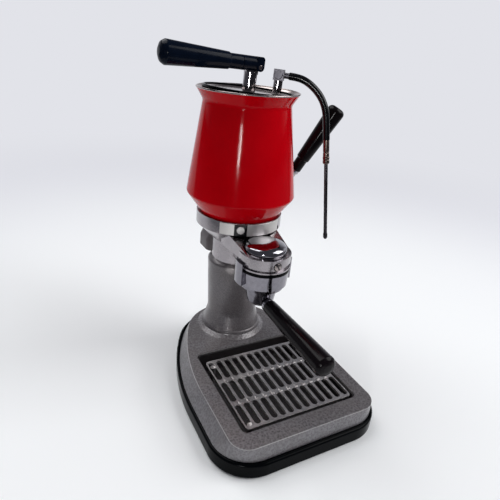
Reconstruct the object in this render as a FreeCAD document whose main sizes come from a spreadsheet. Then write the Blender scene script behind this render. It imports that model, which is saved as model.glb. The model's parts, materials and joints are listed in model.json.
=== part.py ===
import FreeCAD, Part
import math
import os
import Sketcher

# Lever espresso machine, in millimetres.
# The origin is on the table under the middle of the base, +Z is up and the portafilter points along -Y.

os.makedirs("parts", exist_ok=True)
doc = FreeCAD.newDocument("lever_espresso_machine")
sheet = doc.addObject("Spreadsheet::Sheet", "Sizes")
bodies = []
Vector = FreeCAD.Vector


class Size:
    """A length, an angle or a count: its formula in the sheet, and what it comes to now."""

    def __init__(self, text, value):
        self.text = text
        self.value = float(value)

    def __add__(self, other):
        other = as_size(other)
        return Size("(%s + %s)" % (self.text, other.text), self.value + other.value)

    def __sub__(self, other):
        other = as_size(other)
        return Size("(%s - %s)" % (self.text, other.text), self.value - other.value)

    def __mul__(self, other):
        other = as_size(other)
        return Size("(%s * %s)" % (self.text, other.text), self.value * other.value)

    def __truediv__(self, other):
        other = as_size(other)
        return Size("(%s / %s)" % (self.text, other.text), self.value / other.value)

    def __neg__(self):
        return Size("(0 - %s)" % self.text, -self.value)

    def __radd__(self, other):
        return as_size(other) + self

    def __rsub__(self, other):
        return as_size(other) - self

    def __rmul__(self, other):
        return as_size(other) * self


def as_size(item):
    if isinstance(item, Size):
        return item
    return Size("(%r)" % float(item), item)


def root(item):
    return Size("sqrt(%s)" % item.text, math.sqrt(item.value))


def sine(angle):
    return Size("sin(%s)" % angle.text, math.sin(math.radians(angle.value)))


def cosine(angle):
    return Size("cos(%s)" % angle.text, math.cos(math.radians(angle.value)))


def size(alias, value):
    """Write one driving size in the sheet and give it back by its name."""
    size.row += 1
    sheet.set("A%d" % size.row, alias)
    sheet.set("B%d" % size.row, str(value))
    sheet.setAlias("B%d" % size.row, alias)
    return Size("Sizes." + alias, value)


size.row = 0


def bind(item, prop, amount):
    item.setExpression(prop, as_size(amount).text)


def at(x, y, z):
    """The vector of three sizes or numbers, as they come to now."""
    return Vector(as_size(x).value, as_size(y).value, as_size(z).value)


# Base: the outline is straight in front and at the sides, and a long oval behind.
base_half_width = size("base_half_width", 93)
base_front = size("base_front", 124)
base_corner = size("base_corner", 38)
base_rear = size("base_rear", 122)
base_tail = size("base_tail_radius", 68)
side_end = size("side_straight_end", 37)
skirt_flare = size("skirt_side_flare", 10.5)
skirt_front_flare = size("skirt_front_flare", 2.5)
skirt_rear_flare = size("skirt_rear_flare", 6)
top_corner = size("top_corner", 18)
top_tail = size("top_tail_radius", 60)
deck_top = size("deck_top", 34)
deck_thickness = size("deck_thickness", 5)
casting_wall = size("casting_wall", 3)
boot_height = size("boot_height", 17)
boot_floor = size("boot_floor", 2)
boot_wall = size("boot_wall", 6)
boot_side = size("boot_side_overhang", 3)
boot_front = size("boot_front_overhang", 5)
boot_rear = size("boot_rear_overhang", 7)
boot_corner = size("boot_corner", 44)
boot_tail = size("boot_tail_radius", 71)
plate_thickness = size("base_plate_thickness", 2.5)
boss_radius = size("screw_boss_radius", 5)
boss_roof = size("screw_boss_roof", 6)
boss_gap = size("screw_boss_beside_recess", 0.7)
screw_front = size("front_screws_from_origin", 95)
screw_back = size("rear_screws_from_origin", 60)
screw_narrowing = size("rear_screws_further_in", 24)
screw_shank = size("base_screw_radius", 2)
screw_head = size("base_screw_head_radius", 3.8)
screw_head_height = size("base_screw_head_height", 1.4)
screw_reach = size("base_screw_reach", 14)
plinth_height = size("plinth_height", 4)
plinth_slope = size("plinth_slope", 6)

# Clearances: running for turning fits, loose for lift-out pieces, soft beside rubber and black seals.
running = size("running_gap", 0.05)
loose = size("loose_gap", 0.3)
soft = size("soft_gap", 0.3)
spare = size("cut_past_the_face", 1)

# Drip tray and grate
recess_half = size("recess_half_width", 67.5)
recess_front = size("recess_front", 103)
recess_back = size("recess_back", 23)
recess_corner = size("recess_corner", 6)
tray_wall = size("tray_wall", 1.2)
tray_top = size("tray_rim_below_deck", 1.6)
grate_half = size("grate_half_width", 62.7)
grate_front = size("grate_front", 99.9)
grate_back = size("grate_back", 6)
grate_corner = size("grate_corner", 4)
grate_thickness = size("grate_thickness", 3)
grate_rise = size("grate_rise_over_deck", 0.6)
bar_width = size("grate_bar", 3)
cross_bar = size("grate_cross_bar", 5.5)
grate_end = size("grate_end_bar", 3)
slot_count = size("grate_slots", 13)
row_count = size("grate_rows", 3)
bead_height = size("grate_bead_height", 0.8)
bead_length = size("grate_bead_length", 4)
leg_radius = size("grate_leg_radius", 3)
leg_inset = size("grate_leg_inset", 7)

# Column and tie rod
pot_y = size("pot_axis_behind_origin", 73)
foot_radius = size("column_foot_radius", 36.5)
foot_edge = size("column_foot_edge", 3)
foot_flare = size("column_foot_flare", 21)
waist_radius = size("column_waist_radius", 30.3)
shoulder_radius = size("column_shoulder_radius", 33.4)
column_length = size("column_length", 93.5)
column_chamfer = size("column_chamfer", 4)
column_bore = size("column_bore_radius", 17)
spigot_length = size("spigot_length", 9.5)
rod_radius = size("tie_rod_radius", 4)
rod_grip = size("tie_rod_grip", 14)
nut_radius = size("tie_nut_radius", 8)
nut_height = size("tie_nut_height", 6.5)

# Head casting
neck_radius = size("neck_radius", 29)
neck_height = size("neck_height", 24.5)
cone_height = size("cone_height", 18.5)
collar_radius = size("collar_radius", 49.4)
collar_chamfer = size("collar_chamfer", 1.4)
collar_height = size("collar_height", 14.5)
pot_foot = size("pot_foot_radius", 46.2)
seat_depth = size("pot_seat_depth", 8.9)
gasket_thickness = size("pot_gasket_thickness", 1.4)
gasket_width = size("pot_gasket_width", 14)
wire_bore = size("wire_bore_radius", 12)
duct_radius = size("wire_duct_radius", 6)
duct_drop = size("wire_duct_below_neck_top", 8.5)

# Group, on its own upright axis in front of the pot
group_y = size("group_axis_behind_origin", 5)
ring_radius = size("group_ring_radius", 28.4)
ring_bottom = size("group_ring_bottom", 150.5)
ring_height = size("group_ring_height", 17)
cylinder_radius = size("group_cylinder_radius", 21)
dome_radius = size("dome_radius", 23.5)
dome_height = size("dome_height", 14)
dome_wall = size("dome_wall", 2)
dome_gap = size("dome_seat_gap", 1.1)
dome_sink = size("dome_sink_in_ring", 1)
web_half = size("web_half_width", 16)
fairing_front = size("fairing_front_half_width", 25.3)
fairing_back = size("fairing_back_half_width", 31.7)
fairing_drop = size("fairing_front_drop", 9)
fairing_depth = size("fairing_depth", 11.5)
fairing_reach = size("fairing_reach_in_front", 13.6)
fairing_end = size("fairing_end_before_pot_axis", 23)
fairing_level = size("fairing_level_before_pot_axis", 40)
fairing_skirt = size("fairing_skirt_depth", 5)
web_lift = size("web_above_ring_bottom", 0.5)
web_drop = size("web_below_ring_top", 2)
web_end = size("web_end_before_pot_axis", 10)
rib_gap = size("rib_behind_ears", 1.5)
rib_drop = size("rib_below_neck_top", 14)
rib_rise = size("rib_above_neck_top", 4)
rib_end = size("rib_end_before_pot_axis", 12)
screw_radius = size("ring_screw_radius", 4)
screw_depth = size("ring_screw_depth", 5)
screw_lift = size("ring_screw_above_middle", 1.5)
slot_width = size("screw_slot_width", 1)
slot_depth = size("screw_slot_depth", 1.2)
badge_width = size("badge_width_angle", 16)
badge_turn = size("badge_turn_angle", 23.5)
plate_width = size("collar_plate_angle", 86)
plate_turn = size("collar_plate_turn", 7.5)
skin_thickness = size("collar_plate_thickness", 0.6)
plate_margin = size("collar_plate_margin", 0.6)

# Bayonet and portafilter
groove_depth = size("bayonet_groove_depth", 2.2)
groove_bottom = size("bayonet_groove_above_ring_bottom", 3)
groove_height = size("bayonet_groove_height", 5)
ear_gap = size("ear_gap", 0.3)
ear_thickness = size("ear_thickness", 2.8)
ear_angle = size("ear_angle", 30)
ear_top = size("ear_above_ring_bottom", 7.5)
ear_root = size("ear_below_ring_bottom", 17.5)
unlock_angle = size("unlock_angle", 40)
seal_thickness = size("group_seal_thickness", 1.2)
seal_edge = size("group_seal_radius", 26)
bowl_radius = size("bowl_radius", 28)
bowl_taper = size("bowl_taper", 1)
bowl_height = size("bowl_height", 18)
bowl_step = size("bowl_step", 2)
bowl_foot = size("bowl_foot_height", 4.5)
boss_top_radius = size("outlet_boss_top_radius", 18)
boss_low_radius = size("outlet_boss_low_radius", 15)
boss_drop = size("outlet_boss_drop", 16)
boss_shelf = size("outlet_boss_shelf", 2.5)
boss_tip = size("outlet_boss_tip", 4)
boss_tip_radius = size("outlet_boss_tip_radius", 11)
bowl_bore = size("bowl_bore_radius", 24.5)
bowl_floor = size("bowl_floor_thickness", 2)
outlet_radius = size("outlet_radius", 2.5)
spout_radius = size("spout_radius", 6.5)
spout_length = size("spout_length", 8)
basket_wall = size("basket_wall", 0.6)
basket_depth = size("basket_depth", 15)
basket_flange = size("basket_flange", 1.5)
handle_droop = size("portafilter_handle_droop", 1.1)
handle_drop = size("portafilter_handle_below_bowl_top", 39.55)
tang_start = size("handle_tang_start", 9)
tang_radius = size("handle_tang_radius", 4)
tang_length = size("handle_tang_length", 24)
collar_start = size("handle_collar_start", 17.3)
collar_length = size("handle_collar_length", 4)
collar_step = size("handle_collar_step", 0.5)
grip_root = size("grip_root_radius", 8.05)
grip_end = size("grip_end_radius", 10.95)
grip_length = size("grip_length", 108.7)
grip_dome = size("grip_dome", 3.4)

# Shaft of the lever: it leaves the group backwards to the right.
shaft_turn = size("shaft_turn", 27.2)
shaft_height = size("shaft_height", 168)
shaft_radius = size("shaft_radius", 5)
boss_outer = size("bearing_boss_radius", 9.6)
boss_start = size("bearing_boss_start", 34)
boss_end = size("bearing_boss_end", 98)
bush_radius = size("bush_radius", 6.6)
bush_length = size("bush_length", 14)
bush_start = size("bush_start", 36)
shaft_bore_start = size("shaft_bore_start", 18)
spring_radius = size("spring_radius", 7.2)
spring_chamber = size("spring_chamber_radius", 7.6)
spring_bore = size("spring_bore_radius", 5.6)
crank_radius = size("crank_radius", 5)
crank_lead = size("crank_lead_angle", 42.5)
crank_start = size("crank_start", 2.8)
crank_width = size("crank_width", 3.8)
pin_radius = size("crank_pin_radius", 1.6)
yoke_half = size("yoke_half_thickness", 2.2)
yoke_slack = size("yoke_slot_slack", 0.5)
yoke_top = size("yoke_top_above_shaft", 7.4)
yoke_outer = size("yoke_side_outer", 10.5)
piston_top = size("piston_top_below_shaft", 5.6)
piston_height = size("piston_height", 4.5)
piston_gap = size("piston_gap", 0.1)
piston_groove = size("piston_groove_depth", 2)
piston_land = size("piston_land", 1)
screen_thickness = size("shower_screen_thickness", 0.8)
hub_start = size("hub_start", 103)
hub_length = size("hub_length", 10)
hub_radius = size("hub_radius", 7.5)
hub_nut_height = size("hub_nut_height", 5)
hub_nut_radius = size("hub_nut_radius", 7.5)

# Main lever, in the upright plane through the hub
lever_lean = size("lever_lean", 28.45)
arm_radius = size("lever_arm_radius", 4.5)
arm_length = size("lever_arm_length", 67.2)
arm_tang = size("lever_arm_tang", 22)
arm_tang_radius = size("lever_arm_tang_radius", 3.5)
ferrule_length = size("lever_ferrule_length", 4)
ferrule_radius = size("lever_ferrule_radius", 6)
knob_neck = size("lever_handle_neck_radius", 6.8)
knob_neck_length = size("lever_handle_neck_length", 14.6)
knob_shoulder = size("lever_handle_shoulder_radius", 8.1)
knob_end = size("lever_handle_end_radius", 10.85)
knob_length = size("lever_handle_length", 86.9)
knob_dome = size("lever_handle_dome", 5)

# Inlet housing behind the neck
inlet_half = size("inlet_half_width", 30)
inlet_front = size("inlet_front_behind_axis", 15)
inlet_back = size("inlet_back_behind_axis", 49)
inlet_corner = size("inlet_corner", 9)
inlet_rise = size("inlet_above_column", 0.5)
inlet_height = size("inlet_height", 23.5)
socket_half = size("inlet_socket_half_width", 13)
socket_height = size("inlet_socket_height", 15)
socket_depth = size("inlet_socket_depth", 16)
pin_spacing = size("inlet_pin_spacing", 8)
inlet_pin_radius = size("inlet_pin_radius", 1.8)
inlet_pin_length = size("inlet_pin_length", 13)
inlet_screw_place = size("inlet_screw_place", 20)
inlet_screw_radius = size("inlet_screw_radius", 1.5)
inlet_screw_depth = size("inlet_screw_depth", 8)
inlet_head = size("inlet_screw_head_height", 1.5)
inlet_head_step = size("inlet_screw_head_step", 1.5)
pin_root = size("inlet_pin_root", 4)

# Pot and what is in it
pot_wall = size("pot_wall", 1.5)
belly_radius = size("pot_belly_radius", 61.8)
belly_height = size("pot_belly_above_collar", 21.5)
belly_bend = size("pot_belly_bend", 4.2)
throat_radius = size("pot_throat_radius", 47.45)
taper_height = size("pot_taper_height", 98.6)
funnel_height = size("pot_funnel_height", 11.9)
mouth_radius = size("pot_mouth_radius", 55)
rim_height = size("rim_height", 1.2)
rim_overhang = size("rim_overhang", 0.3)
element_ring = size("element_ring_radius", 28)
element_tube = size("element_tube_radius", 3.5)
element_lift = size("element_above_floor", 8)
terminal_radius = size("element_terminal_radius", 2)
terminal_drop = size("element_terminal_drop", 14)
terminal_space = size("element_terminal_spacing", 7)
thermostat_radius = size("thermostat_radius", 4)
thermostat_height = size("thermostat_height", 6)

# Lid, leaning a little to the right in the funnel of the pot
lid_tilt = size("lid_tilt", 3)
lid_height = size("lid_below_rim", 2.1)
lid_edge = size("lid_edge_radius", 48.7)
lid_seal_width = size("lid_seal_width", 2.2)
lid_seal_height = size("lid_seal_height", 4)
lid_seal_top = size("lid_seal_top", 1.5)
lid_thickness = size("lid_thickness", 3)
post_radius = size("lid_post_radius", 7)
post_height = size("lid_post_height", 18.2)
pivot_offset = size("lid_pivot_offset", 7)
pivot_height = size("lid_pivot_above_post", 5.5)
tongue_half = size("lid_tongue_half_thickness", 3)
fork_radius = size("lid_fork_end_radius", 4.3)
fork_half = size("lid_fork_half_width", 7.3)
fork_head = size("lid_fork_head_past_pin", 3.7)
fork_corner = size("lid_fork_corner", 3)
fork_length = size("lid_fork_length", 19)
fork_slot = size("lid_fork_slot_depth", 15.4)
lid_pin_radius = size("lid_pin_radius", 2.2)
lid_rise = size("lid_handle_above_pin", 2.7)
stud_radius = size("lid_stud_radius", 3)
stud_length = size("lid_stud_length", 22)
lid_neck = size("lid_handle_neck_radius", 7.3)
lid_neck_length = size("lid_handle_neck_length", 14)
lid_step = size("lid_handle_step_radius", 8.3)
lid_end = size("lid_handle_end_radius", 11.65)
lid_grip = size("lid_handle_length", 81.4)
lid_dome = size("lid_handle_dome", 5.3)

# Steam fitting, hose and wand
steam_x = size("steam_post_from_axis", 34.3)
steam_radius = size("steam_post_radius", 5)
steam_height = size("steam_post_height", 13.3)
steam_spigot = size("steam_spigot_radius", 3)
block_side = size("swivel_block_side", 11)
block_turn = size("swivel_block_turn", 38)
barb_radius = size("barb_radius", 3)
barb_length = size("barb_length", 5.5)
bolt_radius = size("swivel_bolt_radius", 4.5)
bolt_height = size("swivel_bolt_height", 3)
hose_radius = size("hose_radius", 3.85)
coupling_radius = size("coupling_radius", 3.5)
coupling_length = size("coupling_length", 27)
coupling_band = size("coupling_band_radius", 3.75)
band_length = size("coupling_band_length", 8)
wand_radius = size("wand_radius", 2.1)
wand_length = size("wand_length", 84)
tip_radius = size("wand_tip_radius", 2.6)
tip_length = size("wand_tip_length", 7)

# Levels and radii that follow from them
plate_bottom = boot_floor + soft
plate_top = plate_bottom + plate_thickness
skirt_bottom = boot_height + soft
deck_bottom = deck_top - deck_thickness
column_bottom = deck_top + plinth_height
column_top = column_bottom + column_length
neck_top = column_top + neck_height
cone_top = neck_top + cone_height
collar_bottom = cone_top + collar_chamfer
collar_top = collar_bottom + collar_height
seat = collar_top - seat_depth
pot_bottom = seat + gasket_thickness
pot_belly = collar_top + belly_height
pot_throat = pot_belly + taper_height
pot_rim = pot_throat + funnel_height
ring_top = ring_bottom + ring_height
screw_level = ring_bottom + ring_height / 2 + screw_lift
dome_base = ring_top - dome_sink
seal_bottom = ring_bottom - seal_thickness
bowl_top = seal_bottom - soft
lid_z = pot_rim - lid_height
tray_bottom = plate_top
tray_floor = tray_bottom + tray_wall
grate_top = deck_top + grate_rise
grate_bottom = grate_top - grate_thickness


# Helpers for drawing

def new_body(label):
    body = doc.addObject("PartDesign::Body", label)
    body.Label = label
    bodies.append(body)
    return body


def own_plane(body, role):
    for feature in body.Origin.OriginFeatures:
        if feature.Role == role:
            return feature
    raise ValueError("no plane " + role)


def arc_between(start, end, radius):
    """The arc that turns left from start to end, under half a turn."""
    middle = (start + end) * 0.5
    chord = end - start
    half = chord.Length / 2
    depth = math.sqrt(max(radius * radius - half * half, 0.0))
    centre = middle + Vector(-chord.y, chord.x, 0).normalize() * depth
    first = math.atan2(start.y - centre.y, start.x - centre.x)
    last = math.atan2(end.y - centre.y, end.x - centre.x)
    if last < first:
        last += 2 * math.pi
    return Part.ArcOfCircle(Part.Circle(centre, Vector(0, 0, 1), radius), first, last)


def draw(body, role, points, lift=0):
    """A closed outline of points (x, y) on one of the body's own planes, lifted along its normal.
    A third item in a point is the radius of the arc that leaves it: positive turns left, negative right."""
    sketch = body.newObject("Sketcher::SketchObject", body.Label + "_sketch")
    sketch.AttachmentSupport = [(own_plane(body, role), "")]
    sketch.MapMode = "FlatFace"
    bind(sketch, "AttachmentOffset.Base.z", lift)
    spots = [at(point[0], point[1], 0) for point in points]
    ends = []
    radii = []
    for index, point in enumerate(points):
        start = spots[index]
        end = spots[(index + 1) % len(points)]
        if len(point) == 2:
            sketch.addGeometry(Part.LineSegment(start, end), False)
            ends.append((1, 2))
        elif as_size(point[2]).value > 0:
            sketch.addGeometry(arc_between(start, end, as_size(point[2]).value), False)
            ends.append((1, 2))
            radii.append((index, as_size(point[2])))
        else:
            sketch.addGeometry(arc_between(end, start, -as_size(point[2]).value), False)
            ends.append((2, 1))
            radii.append((index, -as_size(point[2])))
    for index in range(len(points)):
        after = (index + 1) % len(points)
        joint = Sketcher.Constraint("Coincident", index, ends[index][1], after, ends[after][0])
        sketch.addConstraint(joint)
    for index, point in enumerate(points):
        for kind, amount in (("DistanceX", as_size(point[0])), ("DistanceY", as_size(point[1]))):
            limit = Sketcher.Constraint(kind, index, ends[index][0], amount.value)
            tie(sketch, limit, amount)
    for index, amount in radii:
        tie(sketch, Sketcher.Constraint("Radius", index, amount.value), amount)
    return sketch


def tie(sketch, constraint, amount):
    number = sketch.addConstraint(constraint)
    if "Sizes" in amount.text:
        sketch.setExpression("Constraints[%d]" % number, amount.text)


def ring_sketch(body, role, radius, x, y, lift):
    """One circle on one of the body's own planes."""
    sketch = body.newObject("Sketcher::SketchObject", body.Label + "_circle")
    sketch.AttachmentSupport = [(own_plane(body, role), "")]
    sketch.MapMode = "FlatFace"
    bind(sketch, "AttachmentOffset.Base.z", lift)
    sketch.addGeometry(Part.Circle(at(x, y, 0), Vector(0, 0, 1), as_size(radius).value), False)
    tie(sketch, Sketcher.Constraint("Radius", 0, as_size(radius).value), as_size(radius))
    tie(sketch, Sketcher.Constraint("DistanceX", 0, 3, as_size(x).value), as_size(x))
    tie(sketch, Sketcher.Constraint("DistanceY", 0, 3, as_size(y).value), as_size(y))
    return sketch


def pad(body, sketch, length):
    feature = body.newObject("PartDesign::Pad", body.Label + "_pad")
    feature.Profile = sketch
    bind(feature, "Length", length)
    return feature


def pocket(body, sketch, length):
    """Cut down from the sketch, against its normal."""
    feature = body.newObject("PartDesign::Pocket", body.Label + "_pocket")
    feature.Profile = sketch
    bind(feature, "Length", length)
    return feature


def turn(body, points, y=0, cut=False, angle=360):
    """Turn an outline of (radius, height) about the upright line at x 0 and y."""
    sketch = draw(body, "XZ_Plane", points, -as_size(y))
    kind = "PartDesign::Groove" if cut else "PartDesign::Revolution"
    feature = body.newObject(kind, body.Label + "_turned")
    feature.Profile = sketch
    feature.ReferenceAxis = (sketch, ["V_Axis"])
    bind(feature, "Angle", angle)
    return feature


def loft(body, sketches, cut=False):
    kind = "PartDesign::SubtractiveLoft" if cut else "PartDesign::AdditiveLoft"
    feature = body.newObject(kind, body.Label + "_loft")
    feature.Profile = sketches[0]
    feature.Sections = sketches[1:]
    feature.Ruled = True
    return feature


def place(item, x, y, z, rotation=None):
    item.Placement = FreeCAD.Placement(at(x, y, z), rotation or FreeCAD.Rotation())
    bind(item, "Placement.Base.x", x)
    bind(item, "Placement.Base.y", y)
    bind(item, "Placement.Base.z", z)


def rod(body, cut, radius, length, x, y, z, rotation=None):
    """A cylinder from a point along the rotated Z axis, added to the body or cut from it."""
    kind = "PartDesign::SubtractiveCylinder" if cut else "PartDesign::AdditiveCylinder"
    feature = body.newObject(kind, body.Label + "_rod")
    place(feature, x, y, z, rotation)
    bind(feature, "Radius", radius)
    bind(feature, "Height", length)
    return feature


def block(body, cut, low, high, rotation=None):
    """A box between two corners, added to the body or cut from it."""
    kind = "PartDesign::SubtractiveBox" if cut else "PartDesign::AdditiveBox"
    feature = body.newObject(kind, body.Label + "_block")
    place(feature, low[0], low[1], low[2], rotation)
    bind(feature, "Length", as_size(high[0]) - low[0])
    bind(feature, "Width", as_size(high[1]) - low[1])
    bind(feature, "Height", as_size(high[2]) - low[2])
    return feature


def band(low_radius, high_radius, bottom, top):
    """The outline of a plain ring."""
    return [(low_radius, bottom), (high_radius, bottom), (high_radius, top), (low_radius, top)]


def rounded(low_x, low_y, high_x, high_y, radius):
    """The outline of a rectangle with round corners."""
    low_x, low_y = as_size(low_x), as_size(low_y)
    high_x, high_y = as_size(high_x), as_size(high_y)
    return [(low_x + radius, low_y), (high_x - radius, low_y, radius),
            (high_x, low_y + radius), (high_x, high_y - radius, radius),
            (high_x - radius, high_y), (low_x + radius, high_y, radius),
            (low_x, high_y - radius), (low_x, low_y + radius, radius)]


def footprint(half, front, corner, rear, tail, inset=0):
    """The outline of the base: the long side arcs run on into the tail arc without a kink."""
    half = half - inset
    front = front - inset
    corner = corner - inset
    tail = tail - inset
    reach = rear - inset + side_end - tail
    side = (half * half + reach * reach - tail * tail) / (2 * (half - tail))
    turn_x = tail * (side - half) / (side - tail)
    turn_y = reach - side_end + tail * reach / (side - tail)
    return [(corner - half, -front), (half - corner, -front, corner), (half, corner - front),
            (half, -side_end, side), (turn_x, turn_y, tail), (-turn_x, turn_y, side),
            (-half, -side_end), (-half, corner - front, corner)]


def skirt(inset=0):
    return footprint(base_half_width, base_front, base_corner, base_rear, base_tail, inset)


def deck(inset=0):
    return footprint(base_half_width - skirt_flare, base_front - skirt_front_flare, top_corner,
                     base_rear - skirt_rear_flare, top_tail, inset)


def boot(inset=0):
    return footprint(base_half_width + boot_side, base_front + boot_front, boot_corner,
                     base_rear + boot_rear, boot_tail, inset)


# Directions of the leaning and lying pieces

def shaft_direction():
    angle = math.radians(shaft_turn.value)
    return Vector(math.sin(angle), math.cos(angle), 0)


def swing_direction():
    angle = math.radians(shaft_turn.value)
    return Vector(math.cos(angle), -math.sin(angle), 0)


def arm_direction():
    angle = math.radians(lever_lean.value)
    return swing_direction() * math.sin(angle) + Vector(0, 0, 1) * math.cos(angle)


def shaft_rotation():
    """Z lies along the shaft and X along the swing of the lever."""
    return FreeCAD.Rotation(swing_direction(), Vector(0, 0, -1), shaft_direction(), "ZXY")


def arm_rotation():
    """Z lies along the lever and Y along the shaft."""
    across = shaft_direction().cross(arm_direction())
    return FreeCAD.Rotation(across, shaft_direction(), arm_direction(), "ZYX")


def along_shaft(distance):
    """A point of the shaft, as three sizes."""
    distance = as_size(distance)
    return (distance * sine(shaft_turn), group_y + distance * cosine(shaft_turn), shaft_height)


def handle_rotation():
    """Z lies along the portafilter handle, forwards and a little down."""
    return FreeCAD.Rotation(Vector(1, 0, 0), 90 + handle_droop.value)


def lid_place(x, y, z, rotation=None):
    """A point and rotation in the leaning frame of the lid, with its point as three sizes."""
    x, z = as_size(x), as_size(z)
    tilt = FreeCAD.Rotation(Vector(0, 1, 0), lid_tilt.value)
    spot = (x * cosine(lid_tilt) + z * sine(lid_tilt), pot_y + y,
            lid_z - x * sine(lid_tilt) + z * cosine(lid_tilt))
    return spot, tilt.multiply(rotation or FreeCAD.Rotation())


def set_on_lid(body, x, y, z, rotation=None):
    spot, turned = lid_place(x, y, z, rotation)
    place(body, spot[0], spot[1], spot[2], turned)


# Base

def make_boot():
    body = new_body("rubber_boot")
    pad(body, draw(body, "XY_Plane", boot()), boot_height)
    pocket(body, draw(body, "XY_Plane", boot(boot_wall), boot_height), boot_height - boot_floor)


def screw_places():
    side = recess_half + boss_radius + boss_gap
    rear_side = side - screw_narrowing
    return [(-side, -screw_front), (side, -screw_front), (-rear_side, screw_back), (rear_side, screw_back)]


def make_base_casting():
    body = new_body("base_casting")
    inset = boot_wall + soft
    pad(body, draw(body, "XY_Plane", boot(inset), plate_top), skirt_bottom - plate_top)
    loft(body, [draw(body, "XY_Plane", skirt(), skirt_bottom), draw(body, "XY_Plane", deck(), deck_top)])
    inner = inset + casting_wall
    pocket(body, draw(body, "XY_Plane", boot(inner), skirt_bottom), skirt_bottom - plate_top)
    loft(body, [draw(body, "XY_Plane", skirt(2 * casting_wall), skirt_bottom),
                draw(body, "XY_Plane", deck(casting_wall), deck_bottom)], cut=True)
    for x, y in screw_places():
        rod(body, False, boss_radius, deck_bottom - plate_top, x, y, plate_top)
        rod(body, True, screw_shank + running, deck_bottom - plate_top - boss_roof, x, y, plate_top)
    plinth = [(0, deck_top), (foot_radius + plinth_slope, deck_top), (foot_radius, column_bottom),
              (0, column_bottom)]
    turn(body, plinth, pot_y)
    rod(body, True, rod_radius + loose, column_bottom - deck_bottom, 0, pot_y, deck_bottom)
    recess = rounded(-recess_half, -recess_front, recess_half, recess_back, recess_corner)
    pocket(body, draw(body, "XY_Plane", recess, deck_top), deck_thickness + spare)


def make_base_plate():
    body = new_body("base_plate")
    pad(body, draw(body, "XY_Plane", boot(boot_wall + soft), plate_bottom), plate_thickness)
    for x, y in screw_places():
        rod(body, True, screw_shank + loose, plate_thickness, x, y, plate_bottom)
        rod(body, True, screw_head + loose, screw_head_height, x, y, plate_bottom)


def make_base_screws():
    body = new_body("base_screws")
    for x, y in screw_places():
        rod(body, False, screw_head, screw_head_height, x, y, plate_bottom)
        rod(body, False, screw_shank, screw_reach, x, y, plate_bottom)


def make_drip_tray():
    body = new_body("drip_tray")
    gap = loose
    rim = deck_top - tray_top
    outer = rounded(gap - recess_half, gap - recess_front, recess_half - gap, recess_back - gap,
                    recess_corner - gap)
    pad(body, draw(body, "XY_Plane", outer, tray_bottom), rim - tray_bottom)
    inset = gap + tray_wall
    inner = rounded(inset - recess_half, inset - recess_front, recess_half - inset, recess_back - inset,
                    recess_corner - inset)
    pocket(body, draw(body, "XY_Plane", inner, rim), rim - tray_floor)


def slot_pitch():
    return 2 * grate_half / slot_count


def slot_length():
    return (grate_front + grate_back - 2 * grate_end - (row_count - 1) * cross_bar) / row_count


def make_drip_grate():
    body = new_body("drip_grate")
    outline = rounded(-grate_half, -grate_front, grate_half, grate_back, grate_corner)
    pad(body, draw(body, "XY_Plane", outline, grate_bottom), grate_thickness)
    for side in (-1, 1):
        for y in (leg_inset - grate_front, grate_back - leg_inset):
            rod(body, False, leg_radius, grate_bottom - tray_floor, side * (grate_half - leg_inset), y,
                tray_floor)
    pitch = slot_pitch()
    first = pitch / 2 - grate_half
    half = (pitch - bar_width) / 2
    for row in range(int(row_count.value)):
        start = grate_end - grate_front + row * (slot_length() + cross_bar)
        end = start + slot_length()
        slot = [(first - half, start + half, half), (first, start, half), (first + half, start + half),
                (first + half, end - half, half), (first, end, half), (first - half, end - half)]
        sketch = draw(body, "XY_Plane", slot, grate_top)
        cut = pocket(body, sketch, grate_thickness)
        pattern = body.newObject("PartDesign::LinearPattern", "slots")
        pattern.Originals = [cut]
        pattern.Direction = (sketch, ["H_Axis"])
        bind(pattern, "Length", pitch * (slot_count - 1))
        pattern.Occurrences = int(slot_count.value)
        body.Tip = pattern
    for row in range(1, int(row_count.value)):
        middle = grate_end - grate_front + row * (slot_length() + cross_bar) - cross_bar / 2
        for column in range(1, int(slot_count.value)):
            x = column * pitch - grate_half
            block(body, False, (x - bar_width / 2, middle - bead_length / 2, grate_top),
                  (x + bar_width / 2, middle + bead_length / 2, grate_top + bead_height))


# Column and the rod that clamps it between base and head

def make_column():
    body = new_body("column")
    flare = column_bottom + foot_edge + foot_flare
    outline = [(column_bore, column_bottom), (foot_radius, column_bottom),
               (foot_radius, column_bottom + foot_edge, -70), (waist_radius, flare),
               (shoulder_radius, column_top - column_chamfer),
               (shoulder_radius - column_chamfer, column_top), (column_bore, column_top)]
    turn(body, outline, pot_y)


def make_tie_rod():
    body = new_body("tie_rod")
    start = deck_bottom - nut_height
    rod(body, False, rod_radius, column_top - spigot_length + rod_grip - start, 0, pot_y, start)


def make_tie_nut():
    body = new_body("tie_nut")
    corners = []
    for index in range(6):
        angle = math.radians(60 * index)
        corners.append((nut_radius * math.cos(angle), pot_y + nut_radius * math.sin(angle)))
    pad(body, draw(body, "XY_Plane", corners, deck_bottom - nut_height), nut_height)
    rod(body, True, rod_radius + running, nut_height, 0, pot_y, deck_bottom - nut_height)


# Head casting

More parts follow.
